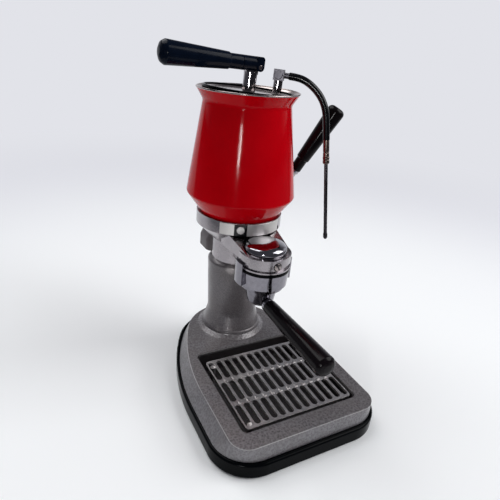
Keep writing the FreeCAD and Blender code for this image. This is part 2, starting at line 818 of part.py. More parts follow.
def make_head_casting():
    body = new_body("head_casting")
    spigot = column_bore - running
    outline = [(0, column_top - spigot_length), (spigot, column_top - spigot_length), (spigot, column_top),
               (neck_radius, column_top), (neck_radius, neck_top), (collar_radius - collar_chamfer, cone_top),
               (collar_radius, collar_bottom), (collar_radius, collar_top), (pot_foot + loose, collar_top),
               (pot_foot + loose, seat), (0, seat)]
    turn(body, outline, pot_y)
    add_fairing(body)
    rod(body, False, ring_radius, ring_height, 0, group_y, ring_bottom)
    block(body, False, (-web_half, group_y, ring_bottom + web_lift),
          (web_half, pot_y - web_end, ring_top - web_drop))
    block(body, False, (-web_half, group_y + ring_radius + ear_thickness + rib_gap, neck_top - rib_drop),
          (web_half, pot_y - rib_end, neck_top + rib_rise))
    spot = along_shaft(boss_start)
    rod(body, False, boss_outer, boss_end - boss_start, spot[0], spot[1], spot[2], shaft_rotation())
    cut_group(body)
    cut_bearing(body)
    cut_wiring(body)
    rod(body, True, rod_radius + running, rod_grip, 0, pot_y, column_top - spigot_length)


def add_fairing(body):
    """The shoulders beside the dome: they slope down from the collar to the front of the group."""
    front = group_y - fairing_reach
    back = pot_y - fairing_end
    bottom = collar_bottom - fairing_depth - fairing_skirt
    plan = [(-fairing_front, front), (fairing_front, front), (fairing_back, back), (-fairing_back, back)]
    slope = fairing_drop / (pot_y - fairing_level - front)
    rise = slope * (fairing_level - fairing_end + spare)
    high = collar_bottom + fairing_skirt
    pad(body, draw(body, "XY_Plane", plan, bottom), high - spare / 2 - bottom)
    low = collar_bottom - fairing_drop - slope * spare
    side = [(front - spare, low), (back + spare, collar_bottom + rise), (back + spare, high),
            (front - spare, high)]
    pocket(body, draw(body, "YZ_Plane", side, fairing_back + spare), 2 * (fairing_back + spare))


def cut_group(body):
    rod(body, True, cylinder_radius, collar_bottom - ring_bottom, 0, group_y, ring_bottom)
    rod(body, True, dome_radius + dome_gap, collar_bottom - dome_base, 0, group_y, dome_base)
    low = ring_bottom + groove_bottom
    groove = band(ring_radius - groove_depth, ring_radius + ear_gap + ear_thickness + spare, low,
                  low + groove_height)
    turn(body, groove, group_y, cut=True)
    rod(body, True, screw_radius + running, screw_depth, 0, group_y - ring_radius, screw_level,
        FreeCAD.Rotation(Vector(1, 0, 0), -90))


def cut_bearing(body):
    turned = shaft_rotation()
    spot = along_shaft(shaft_bore_start)
    rod(body, True, shaft_radius + loose, boss_end, spot[0], spot[1], spot[2], turned)
    spot = along_shaft(bush_start)
    rod(body, True, bush_radius + running, boss_end - bush_start + spare, spot[0], spot[1], spot[2], turned)
    start = bush_start + bush_length
    spot = along_shaft(start)
    rod(body, True, spring_chamber, boss_end - bush_length - start, spot[0], spot[1], spot[2], turned)


def cut_wiring(body):
    floor = neck_top - duct_drop - duct_radius - spare
    rod(body, True, wire_bore, seat - floor, 0, pot_y, floor)
    rod(body, True, duct_radius, neck_radius + spare, 0, pot_y, neck_top - duct_drop,
        FreeCAD.Rotation(Vector(1, 0, 0), -90))


def make_dome():
    body = new_body("dome_cap")
    ball = (dome_radius * dome_radius + dome_height * dome_height) / (2 * dome_height)
    inner = ball - dome_wall
    drop = ball - dome_height
    inner_radius = root(inner * inner - drop * drop)
    outline = [(inner_radius, dome_base), (dome_radius, dome_base, ball), (0, dome_base + dome_height),
               (0, dome_base + dome_height - dome_wall, -inner)]
    turn(body, outline, group_y)
    start = dome_radius / 2
    spot = along_shaft(start)
    rod(body, True, shaft_radius + loose, dome_radius, spot[0], spot[1], spot[2], shaft_rotation())


def make_ring_screw():
    body = new_body("ring_screw")
    rod(body, False, screw_radius, screw_depth, 0, group_y - ring_radius, screw_level,
        FreeCAD.Rotation(Vector(1, 0, 0), -90))
    block(body, True, (-screw_radius - spare, group_y - ring_radius - spare, screw_level - slot_width / 2),
          (screw_radius + spare, group_y - ring_radius + slot_depth, screw_level + slot_width / 2))


def make_collar_skins():
    for label, low, width, middle in (
            ("collar_plate", collar_radius, plate_width, plate_turn),
            ("badge_square", collar_radius + skin_thickness, badge_width, badge_turn)):
        body = new_body(label)
        outline = band(low, low + skin_thickness, collar_bottom + plate_margin, collar_top - plate_margin)
        turn(body, outline, 0, angle=width)
        spin = FreeCAD.Rotation(Vector(0, 0, 1), -90 - middle.value - width.value / 2)
        place(body, 0, pot_y, 0, spin)


# Inlet housing

def make_inlet_housing():
    body = new_body("inlet_housing")
    low = column_top + inlet_rise
    outline = rounded(-inlet_half, pot_y + inlet_front, inlet_half, pot_y + inlet_back, inlet_corner)
    pad(body, draw(body, "XY_Plane", outline, low), inlet_height)
    rod(body, True, neck_radius + loose, inlet_height, 0, pot_y, low)
    middle = low + inlet_height / 2
    back = pot_y + inlet_back
    block(body, True, (-socket_half, back - socket_depth, middle - socket_height / 2),
          (socket_half, back, middle + socket_height / 2))
    forwards = FreeCAD.Rotation(Vector(1, 0, 0), 90)
    for side in (-1, 1):
        rod(body, True, inlet_screw_radius + running, inlet_screw_depth, side * inlet_screw_place, back,
            middle, forwards)
    for place_x in (-1, 0, 1):
        rod(body, True, inlet_pin_radius + running, pin_root, place_x * pin_spacing, back - socket_depth,
            middle, forwards)


def make_inlet_pins():
    body = new_body("inlet_pins")
    middle = column_top + inlet_rise + inlet_height / 2
    for place_x in (-1, 0, 1):
        rod(body, False, inlet_pin_radius, inlet_pin_length, place_x * pin_spacing,
            pot_y + inlet_back - socket_depth - pin_root, middle, FreeCAD.Rotation(Vector(1, 0, 0), -90))


def make_inlet_screws():
    body = new_body("inlet_screws")
    middle = column_top + inlet_rise + inlet_height / 2
    back = pot_y + inlet_back
    backwards = FreeCAD.Rotation(Vector(1, 0, 0), -90)
    for side in (-1, 1):
        rod(body, False, inlet_screw_radius, inlet_screw_depth + inlet_head, side * inlet_screw_place,
            back - inlet_screw_depth, middle, backwards)
        rod(body, False, inlet_screw_radius + inlet_head_step, inlet_head, side * inlet_screw_place, back,
            middle, backwards)


# Pot

def eased(before, spot, after, radius):
    """The two points between which an arc rounds the corner spot of an outline."""
    ways = []
    for other in (before, after):
        x = as_size(other[0]) - spot[0]
        y = as_size(other[1]) - spot[1]
        length = root(x * x + y * y)
        ways.append((x / length, y / length))
    share = ways[0][0] * ways[1][0] + ways[0][1] * ways[1][1]
    trim = radius * root((1 + share) / (1 - share))
    return [(spot[0] + x * trim, spot[1] + y * trim) for x, y in ways]


def make_pot_shell():
    """A cone up from the foot, a tight bend, a long taper to the throat and a funnel at the mouth."""
    body = new_body("pot_shell")
    floor = pot_bottom + pot_wall
    foot = (pot_foot, collar_top)
    throat = (throat_radius, pot_throat)
    first, last = eased(foot, (belly_radius, pot_belly), throat, belly_bend)
    inner_foot = (pot_foot - pot_wall, collar_top)
    inner_throat = (throat_radius - pot_wall, pot_throat)
    inner_bend = belly_bend - pot_wall
    third, fourth = eased(inner_throat, (belly_radius - pot_wall, pot_belly), inner_foot, inner_bend)
    outline = [(0, pot_bottom), (pot_foot - 1.5, pot_bottom), (pot_foot, pot_bottom + 1.5), foot,
               (first[0], first[1], belly_bend), last, throat, (mouth_radius, pot_rim),
               (mouth_radius - pot_wall, pot_rim), inner_throat, (third[0], third[1], -inner_bend), fourth,
               inner_foot, (pot_foot - pot_wall, floor + 1), (pot_foot - pot_wall - 1, floor), (0, floor)]
    turn(body, outline, pot_y)
    for side in (-1, 1):
        rod(body, True, terminal_radius + running, pot_wall, side * terminal_space, pot_y, pot_bottom)


def make_rim_trim():
    body = new_body("rim_trim")
    edge = mouth_radius + rim_overhang
    turn(body, band(mouth_radius - pot_wall, edge, pot_rim, pot_rim + rim_height), pot_y)


def make_pot_gasket():
    body = new_body("pot_gasket")
    turn(body, band(pot_foot - 2 - gasket_width, pot_foot - 2, seat, pot_bottom), pot_y)


def make_element():
    body = new_body("heating_element")
    height = pot_bottom + pot_wall + element_lift
    place(body, 0, pot_y, 0)
    circle = ring_sketch(body, "XZ_Plane", element_tube, element_ring, height, 0)
    feature = body.newObject("PartDesign::Revolution", "element_ring")
    feature.Profile = circle
    feature.ReferenceAxis = (circle, ["V_Axis"])
    feature.Angle = 360
    reach = element_ring - terminal_space
    for side in (-1, 1):
        rod(body, False, terminal_radius, height - pot_bottom + terminal_drop, side * terminal_space, 0,
            pot_bottom - terminal_drop)
        rod(body, False, terminal_radius, reach, side * terminal_space, 0, height,
            FreeCAD.Rotation(Vector(0, 1, 0), 90 * side))


def make_thermostat():
    body = new_body("thermostat")
    rod(body, False, thermostat_radius, thermostat_height, 0, pot_y, pot_bottom - thermostat_height)


# Lid

def make_lid():
    plate = new_body("lid_plate")
    edge = lid_edge - lid_seal_width
    rod(plate, False, edge - running, lid_thickness, 0, 0, -lid_thickness / 2)
    set_on_lid(plate, 0, 0, 0)
    seal = new_body("lid_seal")
    turn(seal, band(edge, lid_edge, lid_seal_top - lid_seal_height, lid_seal_top))
    set_on_lid(seal, 0, 0, 0)


def make_lid_post():
    body = new_body("lid_post")
    foot = lid_thickness / 2
    rod(body, False, post_radius, post_height, 0, 0, foot)
    top = foot + post_height
    block(body, False, (-post_radius + 0.5, -tongue_half, top - 2),
          (pivot_offset, tongue_half, top + pivot_height))
    rod(body, False, fork_radius - 0.4, 2 * tongue_half, pivot_offset, -tongue_half, top + pivot_height,
        FreeCAD.Rotation(Vector(1, 0, 0), -90))
    rod(body, True, lid_pin_radius + running, 2 * tongue_half + 2, pivot_offset, -tongue_half - 1,
        top + pivot_height, FreeCAD.Rotation(Vector(1, 0, 0), -90))
    set_on_lid(body, 0, 0, 0)


def set_on_pivot(body):
    """X of the body points along the handle from the pivot pin, to the left, and Z down."""
    flip = FreeCAD.Rotation(Vector(0, 1, 0), 180)
    height = lid_thickness / 2 + post_height + pivot_height
    set_on_lid(body, pivot_offset, 0, height, flip)


def make_lid_fork():
    """A square head over the pin with a round neck; the slot for the tongue is open below and at the end."""
    body = new_body("lid_fork")
    across = FreeCAD.Rotation(Vector(1, 0, 0), -90)
    along = FreeCAD.Rotation(Vector(0, 1, 0), 90)
    top = -lid_rise - lid_neck
    head = [(-fork_radius, 0), (-fork_radius, top + fork_corner, fork_corner),
            (fork_corner - fork_radius, top), (fork_head, top), (fork_head, 0)]
    pad(body, draw(body, "XZ_Plane", head, -fork_half), 2 * fork_half)
    rod(body, False, fork_radius, 2 * fork_half, 0, -fork_half, 0, across)
    rod(body, False, lid_neck, fork_length - fork_head, fork_head, 0, -lid_rise, along)
    gap = tongue_half + loose
    block(body, True, (-fork_radius - 1, -gap, -fork_radius - loose), (fork_slot, gap, lid_neck))
    rod(body, True, lid_pin_radius + running, 2 * fork_half, 0, -fork_half, 0, across)
    rod(body, False, stud_radius, stud_length, fork_length, 0, -lid_rise, along)
    set_on_pivot(body)


def make_lid_pin():
    body = new_body("lid_pin")
    rod(body, False, lid_pin_radius, 2 * fork_half, 0, -fork_half, 0, FreeCAD.Rotation(Vector(1, 0, 0), -90))
    set_on_pivot(body)


def make_lid_handle():
    body = new_body("lid_handle")
    bulge = (lid_end * lid_end + lid_dome * lid_dome) / (2 * lid_dome)
    bore = stud_radius + running
    outline = [(bore, 0), (lid_neck, 0), (lid_neck, lid_neck_length), (lid_step, lid_neck_length + 1),
               (lid_end, lid_grip, bulge), (0, lid_grip + lid_dome), (0, stud_length + 1),
               (bore, stud_length + 1)]
    turn(body, outline)
    height = lid_thickness / 2 + post_height + pivot_height + lid_rise
    set_on_lid(body, pivot_offset - fork_length, 0, height, FreeCAD.Rotation(Vector(0, 1, 0), -90))


# Steam fitting, hose and wand

def make_steam_post():
    body = new_body("steam_post")
    turn(body, [(0, 0), (steam_radius, 0), (steam_radius, steam_height), (steam_spigot, steam_height),
                (steam_spigot, steam_height + block_side - 3), (0, steam_height + block_side - 3)])
    set_on_lid(body, steam_x, 0, lid_thickness / 2)


def set_on_block(body):
    """X of the body points along the hose outlet of the swivel block."""
    spin = FreeCAD.Rotation(Vector(0, 0, 1), -block_turn.value)
    set_on_lid(body, steam_x, 0, lid_thickness / 2 + steam_height + block_side / 2, spin)


def make_swivel_block():
    body = new_body("swivel_block")
    half = block_side / 2
    block(body, False, (-half, -half, -half), (half, half, half))
    rod(body, True, steam_spigot + running, block_side - 2.7, 0, 0, -half)
    rod(body, False, barb_radius, barb_length, half, 0, 0, FreeCAD.Rotation(Vector(0, 1, 0), 90))
    set_on_block(body)


def make_swivel_bolt():
    body = new_body("swivel_bolt")
    rod(body, False, bolt_radius, bolt_height, 0, -block_side / 2, 0, FreeCAD.Rotation(Vector(1, 0, 0), 90))
    set_on_block(body)


# Route of the hose in the upright plane through the steam post: distance from the post, height
# The first run, straight on from the barb, is hose_lead long.
hose_lead = 9.6
hose_route = [(11.0, 338.45), (30.8, 334.7), (41.0, 327.6), (49.1, 318.7), (54.6, 307.3), (57.5, 292.6),
              (59.7, 277.2)]


def hose_points():
    angle = math.radians(block_turn.value)
    spot, turned = lid_place(steam_x, 0, lid_thickness / 2 + steam_height + block_side / 2)
    start = at(spot[0], spot[1], spot[2])
    outward = turned.multVec(Vector(math.cos(angle), -math.sin(angle), 0))
    first = start + outward * (block_side.value / 2 + barb_length.value)
    lift = first.z - hose_route[0][1]
    points = [first, first + outward * hose_lead]
    for reach, height in hose_route[1:]:
        x = start.x + reach * math.cos(angle)
        points.append(Vector(x, start.y - reach * math.sin(angle), height + lift))
    return points


def round_path(points):
    """Straight runs joined by tangent arcs, each as large as its two runs allow."""
    edges = []
    start = points[0]
    length = 0
    for index in range(1, len(points) - 1):
        before = points[index - 1] - points[index]
        after = points[index + 1] - points[index]
        half = (math.pi - before.getAngle(after)) / 2
        shorter = min(before.Length, after.Length)
        trim = 0.45 * shorter
        radius = trim / math.tan(half)
        print("hose bend %d: radius %.1f mm" % (index, radius))
        one = points[index] + before.normalize() * trim
        two = points[index] + after.normalize() * trim
        aim = (one + two) * 0.5 - points[index]
        reach = radius / math.cos(half) - radius
        middle = points[index] + aim.normalize() * reach
        edges.append(Part.LineSegment(start, one).toShape())
        edges.append(Part.Arc(one, middle, two).toShape())
        length += (one - start).Length + 2 * half * radius
        start = two
    edges.append(Part.LineSegment(start, points[-1]).toShape())
    length += (points[-1] - start).Length
    return Part.Wire(edges), length


def make_hose():
    points = hose_points()
    path, length = round_path(points)
    aim = points[1] - points[0]
    circle = Part.Wire([Part.Circle(points[0], aim, hose_radius.value).toShape()])
    tube = path.makePipeShell([circle], True, False)
    feature = doc.addObject("Part::Feature", "steam_hose")
    feature.Label = "steam_hose"
    feature.Shape = tube
    feature.Placement = FreeCAD.Placement()
    bodies.append(feature)
    print("hose length %.1f mm, volume %.1f, section times length %.1f" % (
        length, tube.Volume, math.pi * hose_radius.value ** 2 * length))


def set_on_hose_end(body, distance):
    points = hose_points()
    aim = (points[-1] - points[-2]).normalize()
    turned = FreeCAD.Rotation(Vector(0, 0, 1), aim)
    spot = points[-1] + aim * as_size(distance).value
    body.Placement = FreeCAD.Placement(spot, turned)


def make_hose_coupling():
    body = new_body("hose_coupling")
    low = coupling_length - band_length
    turn(body, [(0, 0), (coupling_radius, 0), (coupling_radius, low), (coupling_band, low),
                (coupling_band, coupling_length - 1), (coupling_band - 1, coupling_length),
                (0, coupling_length)])
    set_on_hose_end(body, 0)


def make_steam_wand():
    body = new_body("steam_wand")
    rod(body, False, wand_radius, wand_length, 0, 0, 0)
    set_on_hose_end(body, coupling_length)
    tip = new_body("wand_tip")
    turn(tip, [(0, 0), (tip_radius, 0), (tip_radius, tip_length - 2), (tip_radius - 1.4, tip_length),
               (0, tip_length)])
    set_on_hose_end(tip, coupling_length + wand_length)


# Lever shaft, its bearing and what it drives

def make_bushes():
    body = new_body("shaft_bushes")
    for start in (bush_start, boss_end - bush_length):
        turn(body, band(shaft_radius + running, bush_radius, start, start + bush_length))
    spot = along_shaft(0)
    place(body, spot[0], spot[1], spot[2], shaft_rotation())


def make_return_spring():
    body = new_body("return_spring")
    start = bush_start + bush_length + 1
    turn(body, band(spring_bore, spring_radius, start, boss_end - bush_length - 1))
    spot = along_shaft(0)
    place(body, spot[0], spot[1], spot[2], shaft_rotation())


def make_lever_shaft():
    """The shaft, the crank arm on its end and the crank pin, which stands ahead of the upright."""
    body = new_body("lever_shaft")
    start = crank_start + crank_width
    rod(body, False, shaft_radius, hub_start + hub_length + hub_nut_height - crank_start, 0, 0, crank_start)
    pin_x = crank_radius * sine(crank_lead)
    pin_y = -crank_radius * cosine(crank_lead)
    rod(body, False, pin_radius + 1, crank_width, pin_x, pin_y, crank_start)
    rod(body, False, pin_radius, start + crank_start, pin_x, pin_y, -crank_start)
    spot = along_shaft(0)
    place(body, spot[0], spot[1], spot[2], shaft_rotation())


def make_hub_nut():
    body = new_body("hub_nut")
    start = hub_start + hub_length
    turn(body, band(shaft_radius + running, hub_nut_radius, start, start + hub_nut_height))
    spot = along_shaft(0)
    place(body, spot[0], spot[1], spot[2], shaft_rotation())


def make_lever_arm():
    body = new_body("lever_arm")
    rod(body, False, arm_radius, arm_length, 0, 0, 0)
    rod(body, False, arm_tang_radius, arm_tang, 0, 0, arm_length)
    spin = FreeCAD.Rotation(Vector(1, 0, 0), -90)
    rod(body, False, hub_radius, hub_length, 0, -hub_length / 2, 0, spin)
    rod(body, True, shaft_radius + running, hub_length + 2, 0, -hub_length / 2 - 1, 0, spin)
    spot = along_shaft(hub_start + hub_length / 2)
    place(body, spot[0], spot[1], spot[2], arm_rotation())


def make_lever_ferrule():
    body = new_body("lever_ferrule")
    turn(body, band(arm_tang_radius + running, ferrule_radius, arm_length, arm_length + ferrule_length))
    spot = along_shaft(hub_start + hub_length / 2)
    place(body, spot[0], spot[1], spot[2], arm_rotation())


def make_lever_handle():
    body = new_body("lever_handle")
    low = arm_length + ferrule_length
    high = low + knob_length
    bulge = (knob_end * knob_end + knob_dome * knob_dome) / (2 * knob_dome)
    bore = arm_tang_radius + running
    depth = arm_length + arm_tang + 1
    outline = [(bore, low), (knob_neck, low), (knob_neck, low + knob_neck_length),
               (knob_shoulder, low + knob_neck_length + 1.5), (knob_end, high - knob_dome, bulge),
               (0, high), (0, depth), (bore, depth)]
    turn(body, outline)
    spot = along_shaft(hub_start + hub_length / 2)
    place(body, spot[0], spot[1], spot[2], arm_rotation())


def make_piston():
    body = new_body("piston")
    top = shaft_height - piston_top
    bottom = top - piston_height
    outer = cylinder_radius - piston_gap
    inner = outer - piston_groove
    outline = [(0, bottom), (outer, bottom), (outer, bottom + piston_land), (inner, bottom + piston_land),
               (inner, top - piston_land), (outer, top - piston_land), (outer, top), (0, top)]
    turn(body, outline)
    place(body, 0, group_y, 0)


def make_piston_seal():
    body = new_body("piston_seal")
    top = shaft_height - piston_top
    outer = cylinder_radius - soft
    inner = cylinder_radius - piston_gap - piston_groove + soft
    turn(body, band(inner, outer, top - piston_height + piston_land + soft, top - piston_land - soft))
    place(body, 0, group_y, 0)


def make_piston_yoke():
    """Two cheeks and a slotted plate round the crank pin; the shaft end stops short of it."""
    body = new_body("piston_yoke")
    low = -piston_top
    pin_z = crank_radius * cosine(crank_lead)
    gap = pin_radius + yoke_slack
    block(body, False, (-yoke_outer, -yoke_half, low), (yoke_outer, yoke_half, yoke_top))
    block(body, True, (crank_radius * sine(crank_lead) - pin_radius - 1, -yoke_half - 1, pin_z - gap),
          (crank_radius + pin_radius + 1, yoke_half + 1, pin_z + gap))
    turned = FreeCAD.Rotation(swing_direction(), shaft_direction(), Vector(0, 0, 1), "ZXY")
    place(body, 0, group_y, shaft_height, turned)


# Group seal, screen and portafilter

def make_group_seal():
    body = new_body("group_seal")
    turn(body, band(cylinder_radius, seal_edge, seal_bottom, ring_bottom))
    place(body, 0, group_y, 0)


def make_shower_screen():
    body = new_body("shower_screen")
    turn(body, [(0, seal_bottom + 0.1), (cylinder_radius - running, seal_bottom + 0.1),
                (cylinder_radius - running, seal_bottom + 0.1 + screen_thickness),
                (0, seal_bottom + 0.1 + screen_thickness)])
    place(body, 0, group_y, 0)


def make_portafilter():
    body = new_body("portafilter_body")
    low = bowl_top - bowl_height
    foot = low - bowl_foot
    shelf = foot - boss_shelf
    tip = shelf - boss_drop
    outline = [(bowl_bore, bowl_top), (bowl_bore, low + bowl_floor), (outlet_radius, foot + bowl_floor),
               (outlet_radius, tip - boss_tip),
               (boss_tip_radius, tip - boss_tip), (boss_low_radius, tip), (boss_top_radius, shelf),
               (bowl_radius - bowl_taper - bowl_step - 1, foot), (bowl_radius - bowl_taper - bowl_step, low),
               (bowl_radius - bowl_taper, low), (bowl_radius, bowl_top)]
    turn(body, outline)
    for side in (0, 180):
        add_ear(body, side)
    add_tang(body)
    rod(body, True, spout_radius + running, spout_length / 2, 0, 0, tip - boss_tip)
    flange = bowl_bore + basket_flange
    rod(body, True, flange + running, basket_wall + running, 0, 0, bowl_top - basket_wall - running)
    place(body, 0, group_y, 0)


def add_ear(body, side):
    """A lug that stands up beside the group ring, with a tab that reaches into its groove."""
    inner = ring_radius + ear_gap
    outer = inner + ear_thickness
    bottom = ring_bottom - ear_root
    top = ring_bottom + ear_top
    tab = ring_bottom + groove_bottom + ear_gap
    outline = [(bowl_radius - bowl_taper - 1, bottom), (outer, bottom), (outer, top),
               (ring_radius - groove_depth + ear_gap, top), (ring_radius - groove_depth + ear_gap, tab),
               (inner, tab), (inner, bowl_top), (bowl_radius - bowl_taper - 1, bowl_top)]
    sketch = draw(body, "XZ_Plane", outline)
    feature = body.newObject("PartDesign::Revolution", body.Label + "_ear")
    feature.Profile = sketch
    feature.ReferenceAxis = (sketch, ["V_Axis"])
    bind(feature, "Angle", ear_angle)
    feature.Midplane = True
    if side == 180:
        bind(sketch, "AttachmentOffset.Base.z", 0)
        sketch.AttachmentOffset = FreeCAD.Placement(Vector(), FreeCAD.Rotation(Vector(0, 1, 0), 180))


def add_tang(body):
    height = bowl_top - handle_drop
    rod(body, False, tang_radius, collar_start - tang_start, 0, -tang_start, height, handle_rotation())
    rod(body, False, tang_radius - 1, collar_start - tang_start + tang_length, 0, -tang_start, height,
        handle_rotation())


def set_on_handle(body):
    reach = tang_start + (collar_start - tang_start) * cosine(handle_droop)
    height = bowl_top - handle_drop - (collar_start - tang_start) * sine(handle_droop)
    place(body, 0, group_y - reach, height, handle_rotation())


def make_portafilter_handle():
    collar = new_body("handle_collar")
    bore = tang_radius - 1 + running
    turn(collar, band(bore, grip_root - collar_step, 0, collar_length))
    set_on_handle(collar)
    body = new_body("portafilter_handle")
    bulge = (grip_end * grip_end + grip_dome * grip_dome) / (2 * grip_dome)
    high = collar_length + grip_length
    outline = [(bore, collar_length), (grip_root, collar_length), (grip_end, high - grip_dome, bulge),
               (0, high), (0, tang_length + 1), (bore, tang_length + 1)]
    turn(body, outline)
    set_on_handle(body)


def make_spout():
    body = new_body("spout")
    tip = bowl_top - bowl_height - bowl_foot - boss_shelf - boss_drop - boss_tip
    low = tip + spout_length / 2 - spout_length
    turn(body, [(outlet_radius, low), (spout_radius - 2, low), (spout_radius, tip),
                (spout_radius, tip + spout_length / 2), (outlet_radius, tip + spout_length / 2)])
    place(body, 0, group_y, 0)


def make_filter_basket():
    body = new_body("filter_basket")
    top = bowl_top
    outer = bowl_bore - loose
    inner = outer - basket_wall
    low = top - basket_depth
    outline = [(0, low), (outer - 1, low), (outer, low + 1), (outer, top - basket_wall),
               (bowl_bore + basket_flange, top - basket_wall), (bowl_bore + basket_flange, top), (inner, top),
               (inner, low + basket_wall + 0.6), (inner - 0.6, low + basket_wall), (0, low + basket_wall)]
    turn(body, outline)
    place(body, 0, group_y, 0)


make_boot()
make_base_casting()
make_base_plate()
make_base_screws()
make_drip_tray()
make_drip_grate()
make_column()
make_tie_rod()
make_tie_nut()
make_head_casting()
make_dome()
make_ring_screw()
make_collar_skins()
make_inlet_housing()
make_inlet_pins()
make_inlet_screws()
make_pot_shell()
make_rim_trim()
make_pot_gasket()
make_element()
make_thermostat()
make_lid()
make_lid_post()
make_lid_fork()
make_lid_pin()
make_lid_handle()
make_steam_post()
make_swivel_block()
make_swivel_bolt()
doc.recompute()
make_hose()
make_hose_coupling()
make_steam_wand()
make_bushes()
make_return_spring()
make_lever_shaft()
make_hub_nut()
make_lever_arm()
make_lever_ferrule()
make_lever_handle()
make_piston()
make_piston_seal()
make_piston_yoke()
make_group_seal()
make_shower_screen()
make_portafilter()
make_portafilter_handle()
make_spout()
make_filter_basket()
doc.recompute()

# Check everything before anything is written
failed = [item for item in doc.Objects if "Invalid" in item.State or "Error" in item.State]
for item in failed:
    print("failed:", item.Name, item.Label, item.State, item.getStatusString())
if failed:
    raise RuntimeError("%d objects failed" % len(failed))
for body in bodies:
    if body.Shape.isNull() or not body.Shape.isValid():
        raise RuntimeError(body.Label + " has no valid shape")
    if not body.Shape.Solids:
        raise RuntimeError(body.Label + " has no solid")
for body in bodies:
    box = body.Shape.BoundBox
    print("%-20s %d solid %9.0f mm3  x %7.1f %7.1f  y %7.1f %7.1f  z %7.1f %7.1f" % (
        body.Label, len(body.Shape.Solids), body.Shape.Volume, box.XMin, box.XMax, box.YMin, box.YMax,
        box.ZMin, box.ZMax))
    body.Shape.exportStep(os.path.join("parts", body.Label + ".step"))
print(len(bodies), "sub-parts")
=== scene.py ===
# %% [markdown]
# # A small lever espresso machine
#
# This lesson dresses the solids of a lever espresso machine: a red pot on a cast head, a painted
# column, a long oval base with a rubber boot, three black handles and a steam hose. The solids give
# every size and place. Here each visible piece gets soft edges, small details and its own finish.
# All sizes are written in millimetres and turned into metres by one factor.

# %% Load the frame
import json
import math
import bpy
from mathutils import Matrix, Vector


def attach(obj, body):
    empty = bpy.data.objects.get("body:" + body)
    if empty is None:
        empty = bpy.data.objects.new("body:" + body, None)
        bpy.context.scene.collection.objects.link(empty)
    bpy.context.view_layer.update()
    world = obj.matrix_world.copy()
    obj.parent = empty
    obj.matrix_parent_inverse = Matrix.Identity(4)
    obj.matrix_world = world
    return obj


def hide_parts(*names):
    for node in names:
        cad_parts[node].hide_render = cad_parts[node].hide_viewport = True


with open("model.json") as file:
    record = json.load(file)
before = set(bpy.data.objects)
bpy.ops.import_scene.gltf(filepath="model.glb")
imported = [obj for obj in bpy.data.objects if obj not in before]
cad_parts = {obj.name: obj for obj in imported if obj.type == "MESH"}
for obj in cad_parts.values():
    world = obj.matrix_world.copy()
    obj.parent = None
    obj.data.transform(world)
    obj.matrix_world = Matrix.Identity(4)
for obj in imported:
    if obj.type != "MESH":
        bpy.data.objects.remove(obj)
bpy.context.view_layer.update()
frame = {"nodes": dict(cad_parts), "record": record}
MM = 0.001

# %% [markdown]
# ## Camera
#
# The camera was found by fitting the base outline, the pot and the handles to the photograph. It looks
# down on the machine from its front left, rolled by five degrees. The three directions of its frame
# are written out, because a look-at target would lose the roll.

# %% Camera
camera_data = bpy.data.cameras.new("camera")
camera_data.sensor_width = 36
camera_data.lens = 32.5
camera = bpy.data.objects.new("camera", camera_data)
bpy.context.scene.collection.objects.link(camera)
to_right = Vector((0.88671, -0.45460, 0.08407))
to_top = Vector((0.12339, 0.40799, 0.90460))
backwards = Vector((-0.44553, -0.79176, 0.41787))
turn = Matrix((to_right, to_top, backwards)).transposed()
turn = turn.to_quaternion().to_matrix().to_4x4()
camera.matrix_world = Matrix.Translation((-0.2300, -0.3706, 0.3683)) @ turn
bpy.context.scene.camera = camera
bpy.context.scene.view_settings.view_transform = "Standard"
print("camera at", tuple(camera.location))

# %% [markdown]
# ## Colours and nodes
#
# Colours are picked as sRGB hex values, as a paint card or a screen gives them, but a renderer adds
# light in linear values. One function turns the first into the second. Another adds one node with its
# settings and links, so that each finish below reads as a short list of what it is made of.

# %% Two small helpers for finishes
def linear(colour):
    """An sRGB hex colour as the linear numbers that Blender works with."""
    numbers = []
    for start in (0, 2, 4):
        share = int(colour[start:start + 2], 16) / 255
        numbers.append(share / 12.92 if share <= 0.04045 else ((share + 0.055) / 1.055) ** 2.4)
    return (*numbers, 1)


def add_node(tree, kind, values={}, links={}, **settings):
    """One node: its settings, the values of its sockets, and the sockets that feed it."""
    node = tree.nodes.new("ShaderNode" + kind)
    for name, setting in settings.items():
        setattr(node, name, setting)
    for socket, value in values.items():
        node.inputs[socket].default_value = value
    for socket, source in links.items():
        tree.links.new(source, node.inputs[socket])
    return node


def per_metre(millimetres):
    """The scale that makes a pattern's cells this many millimetres wide."""
    return 1 / (millimetres * MM)


print("helpers ready, mid grey is", linear("808080")[0])

# %% [markdown]
# ## Floor, sky and lamps
#
# The photograph shows the machine on a near-white sheet that turns to pale lavender further away, and
# its metal mirrors a dim room on the camera's side. A large disc is the floor, whose colour changes with
# distance. Behind the machine the sky is as pale as the far floor, so the two meet unseen; overhead and
# on the camera's side it is dim, which keeps the red pot deep and gives the polished parts something
# dark to mirror. Two large soft boxes, front right and rear left, light the scene, and a small
# window-like one beside the camera makes the streak on the pot.

# %% Floor
pale_card = "E2E3E9"
dim_room = "5A5A60"


def pick_nothing():
    """Leaves edit mode and deselects everything, because operators act on all that is selected."""
    if bpy.context.mode != "OBJECT":
        bpy.ops.object.mode_set(mode="OBJECT")
    bpy.ops.object.select_all(action="DESELECT")


def pick(piece):
    """Selects one piece and makes it the active one."""
    pick_nothing()
    piece.select_set(True)
    bpy.context.view_layer.objects.active = piece


